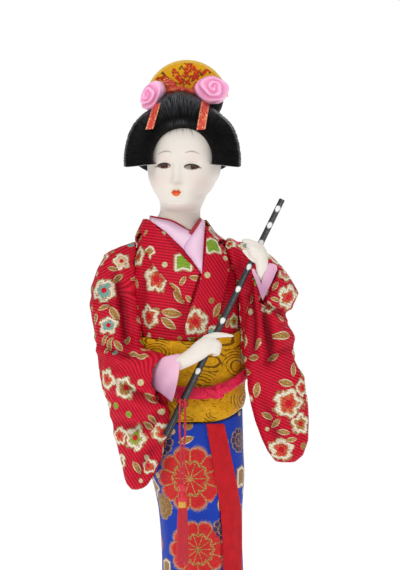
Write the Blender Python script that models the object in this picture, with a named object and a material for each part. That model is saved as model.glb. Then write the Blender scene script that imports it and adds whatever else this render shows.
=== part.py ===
"""A geisha doll that holds a flute, on its low lacquered base.

The figure is drawn in its own frame, in drawn millimetres: x to the viewer's right, y to the back,
z up from the top of the base, for a figure 286 drawn millimetres high. One factor, UNIT, turns
drawn millimetres into metres. Names use the doll's own left and right.
"""

import math

import bmesh
import bpy
from mathutils import Matrix, Vector
from mathutils.bvhtree import BVHTree

# Driving sizes, in metres
FIGURE_HEIGHT = 0.286
BASE_WIDTH = 0.108
BASE_DEPTH = 0.092
BASE_HEIGHT = 0.014
BASE_CORNER = 0.006
BASE_LEDGE = 0.0024
CLEARANCE = 0.0003
FLUTE_LENGTH = 0.0991
FLUTE_TOP_DIAMETER = 0.0022
FLUTE_END_DIAMETER = 0.0028
CORD_DIAMETER = 0.0008
TIE_DIAMETER = 0.0012
TASSEL_LENGTH = 0.030
TASSEL_DIAMETER = 0.0046
OBI_CORD_HEIGHT = 0.0046
OBI_CORD_THICKNESS = 0.0018
COLLAR_THICKNESS = 0.0010
COLLAR_OVERLAP = 0.0006
INNER_COLLAR_THICKNESS = 0.0006
BAND_THICKNESS = 0.0010
COMB_RADIUS = 0.0154
COMB_THICKNESS = 0.0014
RIBBON_THICKNESS = 0.0007

# The figure's own scale
DRAWN_HEIGHT = 286.0
UNIT = FIGURE_HEIGHT / DRAWN_HEIGHT
GAP = CLEARANCE / UNIT

# Directions and counts of faces
FRONT = Vector((0.0, -1.0, 0.0))
UP = Vector((0.0, 0.0, 1.0))
BODY_SIDES = 24
SLEEVE_SIDES = 12
HAND_FACES = 380

# Finishes: colour, roughness, metallic
FINISHES = {
    "lacquer": ((0.012, 0.010, 0.010), 0.18, 0.0),
    "red_brocade": ((0.55, 0.012, 0.030), 0.55, 0.0),
    "blue_brocade": ((0.02, 0.06, 0.42), 0.55, 0.0),
    "gold_brocade": ((0.56, 0.33, 0.03), 0.50, 0.0),
    "red_cloth": ((0.62, 0.02, 0.03), 0.65, 0.0),
    "red_cord": ((0.66, 0.02, 0.07), 0.60, 0.0),
    "pink_cloth": ((0.84, 0.47, 0.62), 0.60, 0.0),
    "pink_satin": ((0.90, 0.30, 0.42), 0.35, 0.0),
    "skin": ((0.86, 0.80, 0.76), 0.35, 0.0),
    "hair": ((0.010, 0.009, 0.012), 0.35, 0.0),
    "black_stick": ((0.012, 0.012, 0.014), 0.25, 0.0),
    "gold_plate": ((0.70, 0.42, 0.06), 0.35, 0.0),
}


def drawn(size):
    """A size in metres, in drawn millimetres."""
    return size / UNIT


def place(point):
    """A drawn point of the figure, in metres, standing on the base."""
    x, y, z = point
    return Vector((x * UNIT, y * UNIT, BASE_HEIGHT + z * UNIT))


def blend(value, low, high):
    """0 below low, 1 above high, and smooth between them."""
    share = min(max((value - low) / (high - low), 0.0), 1.0)
    return share * share * (3.0 - 2.0 * share)


def bump(value, centre, width):
    """A smooth hill of height 1."""
    return math.exp(-((value - centre) / width) ** 2)


def curve_through(keys, position):
    """Read a smooth curve through rows of numbers; position runs from 0 to len(keys) - 1."""
    index = min(max(int(position), 0), len(keys) - 2)
    share = position - index
    before = keys[max(index - 1, 0)]
    start = keys[index]
    end = keys[index + 1]
    after = keys[min(index + 2, len(keys) - 1)]
    values = []
    for a, b, c, d in zip(before, start, end, after):
        slope = 0.5 * (c - a)
        bend = a - 2.5 * b + 2.0 * c - 0.5 * d
        twist = 0.5 * (d - a) + 1.5 * (b - c)
        values.append(b + share * (slope + share * (bend + share * twist)))
    return values


def resample(keys, count):
    """Read count rows, evenly, from a smooth curve through the keys."""
    return [curve_through(keys, i * (len(keys) - 1) / (count - 1)) for i in range(count)]


def at_height(keys, z):
    """Read a smooth curve through rows that begin with a falling or rising height."""
    for i in range(len(keys) - 1):
        low, high = sorted((keys[i][0], keys[i + 1][0]))
        if low <= z <= high:
            share = (z - keys[i][0]) / (keys[i + 1][0] - keys[i][0])
            return curve_through(keys, i + share)[1:]
    nearest = min(keys, key=lambda row: abs(row[0] - z))
    return list(nearest[1:])


def oval(angle, half_width, half_depth, square=2.3):
    """A point of a squared oval; angle 0 is at +x and a quarter turn is at the back."""
    c = math.cos(angle)
    s = math.sin(angle)
    x = math.copysign(abs(c) ** (2.0 / square), c) * half_width
    y = math.copysign(abs(s) ** (2.0 / square), s) * half_depth
    return x, y


def finish_material(name, finish):
    """A material of its own for one object."""
    colour, roughness, metallic = FINISHES[finish]
    material = bpy.data.materials.new(name)
    material.use_nodes = True
    shader = material.node_tree.nodes["Principled BSDF"]
    shader.inputs["Base Color"].default_value = (*colour, 1.0)
    shader.inputs["Roughness"].default_value = roughness
    shader.inputs["Metallic"].default_value = metallic
    return material


def add_object(name, mesh, finish, smooth=True):
    """Put a copy of a drawn mesh in the scene as a named piece, in metres."""
    mesh = mesh.copy()
    mesh.name = name
    mesh.transform(Matrix.Translation(place((0.0, 0.0, 0.0))) @ Matrix.Scale(UNIT, 4))
    piece = bpy.data.objects.new(name, mesh)
    mesh.materials.clear()
    mesh.materials.append(finish_material(name, finish))
    if smooth:
        mesh.shade_smooth()
        mesh.set_sharp_from_angle(angle=math.radians(40.0))
    bpy.context.scene.collection.objects.link(piece)
    return piece


def mesh_of(points, faces):
    """A closed mesh from drawn points, with its faces pointing out."""
    mesh = bpy.data.meshes.new("shape")
    mesh.from_pydata([tuple(point) for point in points], [], faces)
    shape = bmesh.new()
    shape.from_mesh(mesh)
    bmesh.ops.recalc_face_normals(shape, faces=shape.faces)
    shape.to_mesh(mesh)
    shape.free()
    return mesh


def loft(rings, start_tip=None, end_tip=None):
    """Skin rings of equal count and close both ends with fans to a tip or the ring's middle."""
    sides = len(rings[0])
    points = [point for ring in rings for point in ring]
    faces = []
    for row in range(len(rings) - 1):
        for i in range(sides):
            j = (i + 1) % sides
            low = row * sides
            faces.append((low + i, low + j, low + sides + j, low + sides + i))
    for ring, first, tip in ((rings[0], 0, start_tip), (rings[-1], len(points) - sides, end_tip)):
        if tip is None:
            tip = [sum(point[k] for point in ring) / sides for k in range(3)]
        points.append(tip)
        middle = len(points) - 1
        for i in range(sides):
            faces.append((first + i, first + (i + 1) % sides, middle))
    return mesh_of(points, faces)


def prism(outline, front, back):
    """A straight-sided block: an outline in x and z, run from one depth to another."""
    near = [(x, front, z) for x, z in outline]
    far = [(x, back, z) for x, z in outline]
    count = len(outline)
    faces = [tuple(range(count)), tuple(range(2 * count - 1, count - 1, -1))]
    for i in range(count):
        j = (i + 1) % count
        faces.append((i, j, count + j, count + i))
    return mesh_of(near + far, faces)


def swollen(mesh, distance):
    """A copy of a mesh that stands off the first by a distance in drawn millimetres."""
    shape = bmesh.new()
    shape.from_mesh(mesh)
    shape.normal_update()
    moves = [vertex.normal * min(vertex.calc_shell_factor(), 1.6) for vertex in shape.verts]
    for vertex, move in zip(shape.verts, moves):
        vertex.co += move * distance
    grown = bpy.data.meshes.new("grown")
    shape.to_mesh(grown)
    shape.free()
    return grown


def largest_piece(mesh):
    """Keep only the largest joined part of a mesh."""
    shape = bmesh.new()
    shape.from_mesh(mesh)
    waiting = set(shape.faces)
    groups = []
    while waiting:
        group = {waiting.pop()}
        edge_of_group = list(group)
        while edge_of_group:
            face = edge_of_group.pop()
            for edge in face.edges:
                for neighbour in edge.link_faces:
                    if neighbour in waiting:
                        waiting.remove(neighbour)
                        group.add(neighbour)
                        edge_of_group.append(neighbour)
        groups.append(group)
    groups.sort(key=lambda group: sum(face.calc_area() for face in group))
    crumbs = [face for group in groups[:-1] for face in group]
    bmesh.ops.delete(shape, geom=crumbs, context="FACES")
    shape.to_mesh(mesh)
    shape.free()
    return mesh


def combine(mesh, other, operation):
    """Union, difference or intersection of two closed meshes."""
    first = bpy.data.objects.new("first", mesh)
    second = bpy.data.objects.new("second", other)
    scene_objects = bpy.context.scene.collection.objects
    scene_objects.link(first)
    scene_objects.link(second)
    modifier = first.modifiers.new("combine", "BOOLEAN")
    modifier.operation = operation
    modifier.object = second
    modifier.solver = "EXACT"
    graph = bpy.context.evaluated_depsgraph_get()
    result = bpy.data.meshes.new_from_object(first.evaluated_get(graph))
    bpy.data.objects.remove(first)
    bpy.data.objects.remove(second)
    return result


def cut(mesh, rooms):
    """Cut whole forms out of a mesh."""
    for room in rooms:
        mesh = combine(mesh, room.copy(), "DIFFERENCE")
    return mesh


def clear_of(mesh, *neighbours):
    """Cut a mesh back so that it stays the clearance away from its neighbours."""
    for neighbour in neighbours:
        mesh = combine(mesh, swollen(neighbour, 1.15 * GAP), "DIFFERENCE")
    return largest_piece(mesh)


def panel_on(body, outline, lift, thickness, back=0.0):
    """Cloth that follows a body's front inside an outline in x and z."""
    outer = swollen(body, lift + thickness)
    block = combine(prism(outline, -60.0, back), outer, "INTERSECT")
    return largest_piece(combine(block, swollen(body, lift), "DIFFERENCE"))


def tube(points, radii, sides=8):
    """A round rod through points, with a radius at each."""
    rings = []
    for i, point in enumerate(points):
        ahead = Vector(points[min(i + 1, len(points) - 1)])
        behind = Vector(points[max(i - 1, 0)])
        direction = (ahead - behind).normalized()
        side = direction.cross(FRONT)
        if side.length < 0.05:
            side = direction.cross(UP)
        side.normalize()
        other = direction.cross(side)
        ring = []
        for k in range(sides):
            angle = 2.0 * math.pi * k / sides
            offset = side * math.cos(angle) + other * math.sin(angle)
            ring.append(tuple(Vector(point) + offset * radii[i]))
        rings.append(ring)
    return loft(rings)


def turned(profile, centre, sides=10):
    """A turned form: radii and heights about an upright axis."""
    rings = []
    for radius, z in profile:
        ring = []
        for k in range(sides):
            angle = 2.0 * math.pi * k / sides
            ring.append((centre[0] + radius * math.cos(angle), centre[1] + radius * math.sin(angle), z))
        rings.append(ring)
    return loft(rings)


def rounded(points, radii, voxel, faces):
    """Melt rods with round ends into one smooth form with about a given count of faces."""
    shape = bmesh.new()
    for run, run_radii in zip(points, radii):
        for i in range(len(run) - 1):
            add_capsule(shape, run[i], run[i + 1], run_radii[i], run_radii[i + 1])
    mesh = bpy.data.meshes.new("rods")
    shape.to_mesh(mesh)
    shape.free()
    rods = bpy.data.objects.new("rods", mesh)
    bpy.context.scene.collection.objects.link(rods)
    remesh = rods.modifiers.new("melt", "REMESH")
    remesh.mode = "VOXEL"
    remesh.voxel_size = voxel
    soften = rods.modifiers.new("soften", "SMOOTH")
    soften.factor = 0.5
    soften.iterations = 4
    graph = bpy.context.evaluated_depsgraph_get()
    smooth = bpy.data.meshes.new_from_object(rods.evaluated_get(graph))
    bpy.data.objects.remove(rods)
    thinned = bpy.data.objects.new("thinned", smooth)
    bpy.context.scene.collection.objects.link(thinned)
    decimate = thinned.modifiers.new("thin", "DECIMATE")
    decimate.ratio = faces / (2.0 * len(smooth.polygons))
    graph = bpy.context.evaluated_depsgraph_get()
    result = bpy.data.meshes.new_from_object(thinned.evaluated_get(graph))
    bpy.data.objects.remove(thinned)
    return largest_piece(result)


def add_capsule(shape, start, end, start_radius, end_radius):
    """Add one tapered rod with round ends, as a chain of balls, to a bmesh."""
    start = Vector(start)
    end = Vector(end)
    steps = max(2, math.ceil((end - start).length / (0.35 * min(start_radius, end_radius))))
    for i in range(steps + 1):
        share = i / steps
        radius = start_radius + (end_radius - start_radius) * share
        matrix = Matrix.Translation(start.lerp(end, share))
        bmesh.ops.create_icosphere(shape, subdivisions=2, radius=radius, matrix=matrix)


# The base

def base_mesh():
    """A low block with rounded corners, a moulded ledge and a flat underside."""
    half_width = 0.5 * BASE_WIDTH
    half_depth = 0.5 * BASE_DEPTH
    ledge = BASE_LEDGE
    profile = [
        (0.25 * ledge, 0.0),
        (0.0, 0.06 * BASE_HEIGHT),
        (0.0, 0.55 * BASE_HEIGHT),
        (0.30 * ledge, 0.64 * BASE_HEIGHT),
        (ledge, 0.68 * BASE_HEIGHT),
        (ledge, 0.92 * BASE_HEIGHT),
        (1.6 * ledge, BASE_HEIGHT),
    ]
    rings = []
    for inset, height in profile:
        ring = []
        for corner in range(4):
            sign_x = (1, -1, -1, 1)[corner]
            sign_y = (1, 1, -1, -1)[corner]
            for step in range(5):
                angle = math.radians(90.0 * corner + 22.5 * step)
                x = sign_x * (half_width - BASE_CORNER) + (BASE_CORNER - inset) * math.cos(angle)
                y = sign_y * (half_depth - BASE_CORNER) + (BASE_CORNER - inset) * math.sin(angle)
                ring.append((drawn(x), drawn(y), drawn(height - BASE_HEIGHT)))
        rings.append(ring)
    return loft(rings)


# The clothes round the body

SKIRT = [
    # z, middle x, middle y, half width, half depth
    (151.0, -0.6, 0.2, 20.4, 17.6),
    (140.0, 0.5, 0.2, 19.7, 17.2),
    (128.0, 2.1, 0.2, 18.0, 16.4),
    (115.7, 3.0, 0.2, 16.0, 15.4),
    (100.0, 3.7, 0.3, 15.3, 14.9),
    (85.0, 4.1, 0.5, 15.5, 14.8),
    (65.0, 4.2, 0.8, 16.7, 15.6),
    (45.0, 3.8, 1.2, 18.9, 17.4),
    (25.0, 3.2, 1.8, 22.6, 20.8),
    (10.0, 2.8, 2.4, 27.2, 25.2),
    (0.0, 2.6, 2.8, 31.0, 28.6),
]
SKIRT_LEVELS = (0.0, 5.0, 14.0, 26.0, 42.0, 60.0, 80.0, 100.0, 118.0, 134.0, 149.0)
OBI_MIDDLE = (-1.0, 0.0)
OBI_FOOT = 149.2
OBI_BRIM = 179.4
OBI_HALF_WIDTH = 21.0
OBI_HALF_DEPTH = 18.2
KNOT_HALF_DEPTH = 1.5
KNOT_HALF_WIDTH = 3.6
# How much taller the knot is than the braid
KNOT_SWELL = 1.18
HEM_WAVE = 0.030
HEM_WAVES = 7
# The step of the skirt's overlap, and where it lies at the waist and at the hem
LAP_STEP = 0.7
LAP_AT_WAIST = -66.0
LAP_AT_HEM = -80.0


def obi_foot(x):
    """Height of the obi's lower edge: it climbs to the doll's left."""
    return OBI_FOOT + 7.0 * max((x - 6.0) / 15.0, 0.0) ** 2


def obi_brim(x):
    """Height of the obi's upper edge."""
    return OBI_BRIM + 0.0125 * max(x, 0.0) ** 2 + 0.004 * min(x, 0.0) ** 2


def skirt_point(angle, z):
    """A point of the wrapped skirt, with its overlap and the waves of its hem."""
    middle_x, middle_y, half_width, half_depth = at_height(SKIRT, z)
    spread = 1.0 - blend(z, 4.0, 60.0)
    wave = 1.0 + HEM_WAVE * spread * math.sin(HEM_WAVES * angle + 0.6)
    lap_angle = math.radians(LAP_AT_WAIST + (LAP_AT_HEM - LAP_AT_WAIST) * spread)
    past_lap = angle_from(angle, lap_angle)
    lap = LAP_STEP * blend(past_lap, 0.0, 0.10) * (1.0 - blend(past_lap, 0.5, 2.4))
    x, y = oval(angle, half_width * wave + lap, half_depth * wave + lap)
    return middle_x + x, middle_y + y


def angle_from(angle, start):
    """How far an angle lies clockwise of a start, from 0 to a full turn."""
    return (start - angle) % (2.0 * math.pi)


def skirt_rings(swell=0.0):
    """Rings of the skirt, from just over the base to just under the obi."""
    rings = []
    for level in SKIRT_LEVELS:
        ring = []
        for k in range(BODY_SIDES):
            angle = 2.0 * math.pi * k / BODY_SIDES
            x, y = skirt_point(angle, level)
            z = level + GAP
            if level == SKIRT_LEVELS[-1]:
                z = obi_foot(x) - 2.0 * GAP
            ring.append((x + swell * math.cos(angle), y + swell * math.sin(angle), z))
        rings.append(ring)
    return rings


def obi_ring(swell, height_of):
    """A ring of the obi, swollen by a distance, at a height given for each x."""
    ring = []
    for k in range(BODY_SIDES):
        x, y = oval(2.0 * math.pi * k / BODY_SIDES, OBI_HALF_WIDTH + swell, OBI_HALF_DEPTH + swell, 2.4)
        x += OBI_MIDDLE[0]
        ring.append((x, y + OBI_MIDDLE[1], height_of(x)))
    return ring


def obi_mesh():
    """The obi: a firm wound belt, a little slack at its edges."""
    rings = []
    for share, swell in ((0.0, -0.7), (0.06, -0.1), (0.3, 0.1), (0.6, 0.1), (0.94, -0.1), (1.0, -0.7)):
        rings.append(obi_ring(swell, lambda x: obi_foot(x) + share * (obi_brim(x) - obi_foot(x))))
    return loft(rings, start_tip=(*OBI_MIDDLE, OBI_FOOT), end_tip=(*OBI_MIDDLE, OBI_BRIM))


def obi_cord_height(x, y):
    """Height of the braided cord's middle: low in front, higher at the back."""
    front = 160.1 + 0.024 * max(x - 3.0, 0.0) ** 2 + 0.006 * min(x - 3.0, 0.0) ** 2
    back = 168.0
    share = blend(y, -6.0, 16.0)
    return front + (back - front) * share


def obi_cord_mesh():
    """The braided cord: a flat ring round the obi with a knot in front."""
    half_height = 0.5 * drawn(OBI_CORD_HEIGHT)
    thickness = drawn(OBI_CORD_THICKNESS)
    inner = 0.1 + 1.3 * GAP
    section = [
        (inner, -0.75), (inner + 0.7 * thickness, -1.0), (inner + thickness, -0.55),
        (inner + 0.8 * thickness, 0.0),
        (inner + thickness, 0.55), (inner + 0.7 * thickness, 1.0), (inner, 0.75),
    ]
    rings = []
    for k in range(BODY_SIDES):
        angle = 2.0 * math.pi * k / BODY_SIDES
        ring = []
        for swell, share in section:
            x, y = oval(angle, OBI_HALF_WIDTH + swell, OBI_HALF_DEPTH + swell, 2.4)
            x += OBI_MIDDLE[0]
            ring.append((x, y, obi_cord_height(x, y) + share * half_height))
        rings.append(ring)
    count = len(section)
    points = [point for ring in rings for point in ring]
    faces = []
    for row in range(BODY_SIDES):
        after = (row + 1) % BODY_SIDES
        for i in range(count):
            j = (i + 1) % count
            faces.append((row * count + i, row * count + j, after * count + j, after * count + i))
    band = mesh_of(points, faces)
    knot = knot_mesh((9.4, -OBI_HALF_DEPTH - inner - KNOT_HALF_DEPTH, 160.6), half_height)
    return largest_piece(combine(band, knot, "UNION"))


def belt_rings():
    """Rings of the room that the obi and its cord need: they bulge along the cord."""
    half_height = 0.5 * drawn(OBI_CORD_HEIGHT) + GAP
    small = 0.1 + 1.3 * GAP
    large = 0.1 + drawn(OBI_CORD_THICKNESS) + 2.6 * GAP
    rings = [obi_ring(small, lambda x: obi_foot(x) - GAP)]
    for offset, swell in (
        (-half_height - 0.4, small), (-half_height, large),
        (half_height, large), (half_height + 0.4, small),
    ):
        ring = obi_ring(swell, obi_foot)
        rings.append([(x, y, obi_cord_height(x, y) + offset) for x, y, _ in ring])
    rings.append(obi_ring(small, lambda x: obi_brim(x) + GAP))
    return rings


def knot_mesh(middle, half_height):
    """The square knot of the braided cord."""
    rings = []
    for share in (-1.0, -0.8, -0.35, 0.0, 0.35, 0.8, 1.0):
        swell = math.sqrt(max(1.0 - share ** 4, 0.06))
        ring = []
        for k in range(10):
            angle = 2.0 * math.pi * k / 10
            x, z = oval(angle, KNOT_HALF_WIDTH * swell, KNOT_SWELL * half_height * swell, 2.6)
            ring.append((middle[0] + x, middle[1] + share * KNOT_HALF_DEPTH, middle[2] + z))
        rings.append(ring)
    return loft(rings)


BOW = [
    # z, half width, half depth, middle y
    (146.0, 13.0, 2.5, 23.5),
    (148.5, 16.0, 5.0, 23.4),
    (156.0, 17.4, 6.6, 23.0),
    (165.0, 17.0, 5.6, 22.6),
    (174.0, 17.6, 6.8, 23.0),
    (183.0, 17.2, 7.2, 23.4),
    (188.5, 15.8, 5.2, 23.6),
    (190.5, 13.0, 2.5, 23.6),
]


def bow_mesh(trunk):
    """The drum bow: a soft square bundle on the obi's back."""
    rings = []
    for z, half_width, half_depth, middle_y in BOW:
        ring = []
        for k in range(16):
            x, y = oval(2.0 * math.pi * k / 16, half_width, half_depth, 3.4)
            ring.append((OBI_MIDDLE[0] + x, middle_y + y, z))
        rings.append(ring)
    return largest_piece(combine(loft(rings), trunk, "DIFFERENCE"))


TORSO = [
    # z, middle x, middle y, half width, half depth
    (182.0, -1.0, 0.0, 20.0, 16.4),
    (189.0, -1.6, -0.5, 20.3, 16.6),
    (197.0, -2.1, -1.0, 20.4, 16.6),
    (204.5, -2.7, -0.8, 20.0, 15.8),
    (211.0, -3.2, 0.0, 19.0, 14.4),
    (216.0, -3.8, 0.8, 17.6, 12.8),
    (220.0, -4.4, 1.4, 15.8, 11.6),
    (223.6, -5.0, 1.8, 13.6, 10.6),
    (226.4, -5.6, 2.0, 11.9, 9.8),
]
TORSO_ROWS = (0.0, 1.0, 2.0, 3.0, 3.8, 4.6, 5.4, 6.2, 7.1, 8.0)
NECK_MIDDLE = (-5.6, 2.0)
NECK_PIT = (-5.6, 2.0, 219.5)
CROSSING_X = -0.2
CROSSING_Z = 220.2
NECKLINE_TOP = 225.2
# How far the opening's rim drops beside the neck, on the doll's left and on its right
LEFT_FALL = 7.0
RIGHT_FALL = 1.2
FALL_ROWS = 4.0


def neckline(x):
    """Height of the neck opening's front edge: a V, steep on the doll's left."""
    if x < CROSSING_X:
        return CROSSING_Z + 6.2 * (CROSSING_X - x) / 16.6
    return min(CROSSING_Z + 5.6 * (x - CROSSING_X) / 3.6, NECKLINE_TOP)


def shoulder_fall(x):
    """How far the rim of the neck opening drops at x."""
    return LEFT_FALL * blend(x, 3.8, 7.4) + RIGHT_FALL * blend(-x, 14.5, 18.0)


def torso_point(angle, row):
    """A point of the upper kimono, by its angle and its row in TORSO."""
    z, middle_x, middle_y, half_width, half_depth = curve_through(TORSO, row)
    x, y = oval(angle, half_width, half_depth, 2.35)
    x += middle_x
    height = z
    if row < 0.01:
        height = obi_brim(x) + GAP
    front = blend(-math.sin(angle), 0.0, 0.6)
    back = blend(math.sin(angle), 0.0, 1.0)
    near_neck = blend(row, 5.0, len(TORSO) - 1.0)
    height += near_neck * front * (neckline(x) - 226.4)
    height -= near_neck * back * 1.6
    height -= max(0.0, 1.0 - (len(TORSO) - 1.0 - row) / FALL_ROWS) * shoulder_fall(x)
    return x, y + middle_y, height


def torso_rings(swell=0.0):
    """Rings of the upper kimono, from just over the obi to the neck opening."""
    rings = []
    for row in TORSO_ROWS:
        rise = swell * blend(row, 3.0, 6.0)
        ring = []
        for k in range(BODY_SIDES):
            angle = 2.0 * math.pi * k / BODY_SIDES
            x, y, z = torso_point(angle, row)
            ring.append((x + swell * math.cos(angle), y + swell * math.sin(angle), z + rise))
        rings.append(ring)
    return rings


def trunk_clearance():
    """The room that the skirt, the belt and the upper kimono need, in one form."""
    swell = 1.3 * GAP
    rings = skirt_rings(swell)[:-1] + belt_rings() + torso_rings(swell)[1:]
    return loft(rings)


COLLAR_UNDER = [
    # outer x and z, then inner x and z, up the doll's right side
    (-1.4, 192.8, 2.7, 205.8), (-5.9, 197.9, -2.4, 210.2), (-10.6, 203.3, -5.2, 213.3),
    (-14.6, 208.2, -8.3, 216.6), (-17.4, 212.6, -11.0, 219.8), (-19.0, 216.6, -13.4, 222.6),
    (-18.8, 220.2, -15.4, 225.2),
]
COLLAR_REAR_ANGLES = (206.0, -25.0)
COLLAR_REAR_ROWS = (5.0, 7.9)
COLLAR_REAR_SECTIONS = 18
COLLAR_OVER = [
    # outer x and z, then inner x and z, down the doll's left side
    (9.0, 214.8, 4.6, 222.6), (12.0, 212.6, 4.9, 217.5),
    (13.2, 209.4, 4.6, 211.8), (13.2, 205.0, 3.4, 205.4),
    (12.2, 199.0, 1.6, 198.6), (10.6, 193.0, -0.7, 192.4),
    (9.2, 187.0, -2.7, 186.2), (8.5, 181.6, -3.5, 181.0),
]
INNER_UNDER = [
    (-15.0, 224.7, -14.2, 224.9), (-12.5, 222.6, -10.6, 223.6), (-10.1, 220.0, -6.0, 221.9),
    (-7.4, 217.2, -0.6, 219.8), (-4.6, 214.2, 3.9, 217.4),
    (-1.6, 211.0, 3.8, 212.6), (2.0, 207.6, 2.8, 208.2),
]
INNER_OVER = [
    (3.4, 223.8, 4.5, 223.8), (1.4, 222.0, 4.4, 221.2),
    (-0.4, 219.8, 4.3, 217.4), (-1.6, 217.0, 4.0, 212.6),
    (1.0, 210.2, 3.2, 208.8),
]


def torso_normal(angle, row):
    """The direction straight out of the upper kimono."""
    here = Vector(torso_point(angle, row))
    along = Vector(torso_point(angle + 0.03, row)) - here
    down = here - Vector(torso_point(angle, row - 0.06))
    return along.cross(down).normalized()


def surface_of(mesh):
    """A mesh's faces, ready for finding points on them."""
    return BVHTree.FromPolygons([v.co for v in mesh.vertices], [p.vertices for p in mesh.polygons])


def front_depth(surface, x, z):
    """Depth of a surface's front at x and z."""
    return surface.ray_cast(Vector((x, -60.0, z)), -FRONT)[0].y


def across(margin):
    """Places across a strip, from its outer to its inner edge, with a margin beyond both."""
    return (-margin, 0.25, 0.5, 0.75, 1.0 + margin)


def kept_off(surface, point, room):
    """A point, moved straight out of a surface where it is nearer than the room."""
    point = Vector(point)
    near, way, _, _ = surface.find_nearest(point)
    return tuple(point + way * max(room - (point - near).dot(way), 0.0))


def chest_sections(surface, rows, lift, thickness, margin=0.0):
    """Cross-sections of a strip on the chest, between two edges given in x and z."""
    sections = []
    for outer_x, outer_z, inner_x, inner_z in resample(rows, 2 * len(rows) - 1):
        near = []
        far = []
        for share in across(margin):
            x = outer_x + (inner_x - outer_x) * share
            z = outer_z + (inner_z - outer_z) * share
            y = front_depth(surface, x, z)
            far.append(kept_off(surface, (x, y - lift, z), lift))
            near.append(kept_off(surface, (x, y - lift - thickness, z), lift + thickness))
        sections.append(far + near[::-1])
    return sections


def rear_sections(surface, lift, thickness, margin=0.0):
    """Cross-sections of the collar behind the neck, from the doll's right to its left."""
    sections = []
    first, last = COLLAR_REAR_ANGLES
    low, high = COLLAR_REAR_ROWS
    for k in range(COLLAR_REAR_SECTIONS + 1):
        turn = k / COLLAR_REAR_SECTIONS
        angle = math.radians(first + (last - first) * turn)
        start = low + 1.2 * (1.0 - blend(min(turn, 1.0 - turn), 0.0, 0.25))
        near = []
        far = []
        for share in across(margin):
            row = start + (high - start) * share
            point = Vector(torso_point(angle, row))
            out = torso_normal(angle, row)
            far.append(kept_off(surface, point + out * lift, lift))
            near.append(kept_off(surface, point + out * (lift + thickness), lift + thickness))
        sections.append(far + near[::-1])
    return sections


def collar_mesh(body):
    """The brocade collar: up the right side, round the neck, and down over the left side."""
    surface = surface_of(body)
    lift = 2.4 * GAP
    thin = drawn(COLLAR_THICKNESS)
    thick = thin + drawn(COLLAR_OVERLAP)
    sections = chest_sections(surface, COLLAR_UNDER, lift, thin)
    sections += rear_sections(surface, lift, thin)
    sections += chest_sections(surface, COLLAR_OVER, lift, thick)
    return loft(sections)


def collar_clearance(body):
    """The room that each half of the collar needs beside the sleeves."""
    surface = surface_of(body)
    lift = 0.5 * GAP
    thin = drawn(COLLAR_THICKNESS) + 3.1 * GAP
    thick = thin + drawn(COLLAR_OVERLAP)
    margin = 0.04
    right = chest_sections(surface, COLLAR_UNDER[4:], lift, thin, margin)
    right += rear_sections(surface, lift, thin, margin)
    left = rear_sections(surface, lift, thin, margin)
    left += chest_sections(surface, COLLAR_OVER[:5], lift, thick, margin)
    return loft(right), loft(left)


def inner_collar_mesh(body):
    """The pink under-collar inside the brocade one: right side over left, and a rim behind."""
    thickness = drawn(INNER_COLLAR_THICKNESS)
    surface = surface_of(body)
    under = loft(chest_sections(surface, INNER_UNDER, 2.1 * GAP, thickness))
    over = loft(chest_sections(surface, INNER_OVER, 2.4 * GAP, 1.7 * thickness))
    rim = []
    for k in range(15):
        angle = math.radians(-26.0 + 232.0 * k / 14)
        x, y, z = torso_point(angle, len(TORSO) - 1.0)
        section = []
        for share, height in ((0.92, 2.4 * GAP), (1.0, 2.4 * GAP), (1.0, 1.6), (0.92, 1.9)):
            side = NECK_MIDDLE[0] + share * (x - NECK_MIDDLE[0])
            depth = NECK_MIDDLE[1] + share * (y - NECK_MIDDLE[1])
            section.append((side, depth, z + height))
        rim.append(section)
    both = combine(under, over, "UNION")
    return largest_piece(combine(both, loft(rim), "UNION"))


FRONT_BAND_LEFT_EDGE = [
    # x and z, down the doll's right edge of the band, then up its left edge
    (5.0, 148.6), (7.6, 133.0), (10.4, 115.7), (11.4, 100.0), (11.2, 85.0), (10.4, 72.0),
]
FRONT_BAND_RIGHT_EDGE = [
    (17.4, 68.0), (18.2, 85.0), (18.6, 100.0), (18.3, 115.7), (15.2, 133.0), (11.9, 148.6),
]


def front_band_mesh(skirt):
    """The plain red sash end that hangs from the obi down the skirt."""
    outline = resample(FRONT_BAND_LEFT_EDGE, 11) + resample(FRONT_BAND_RIGHT_EDGE, 11)
    return panel_on(skirt, outline, GAP, drawn(BAND_THICKNESS))


# The sleeves, cuffs and hands

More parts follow.
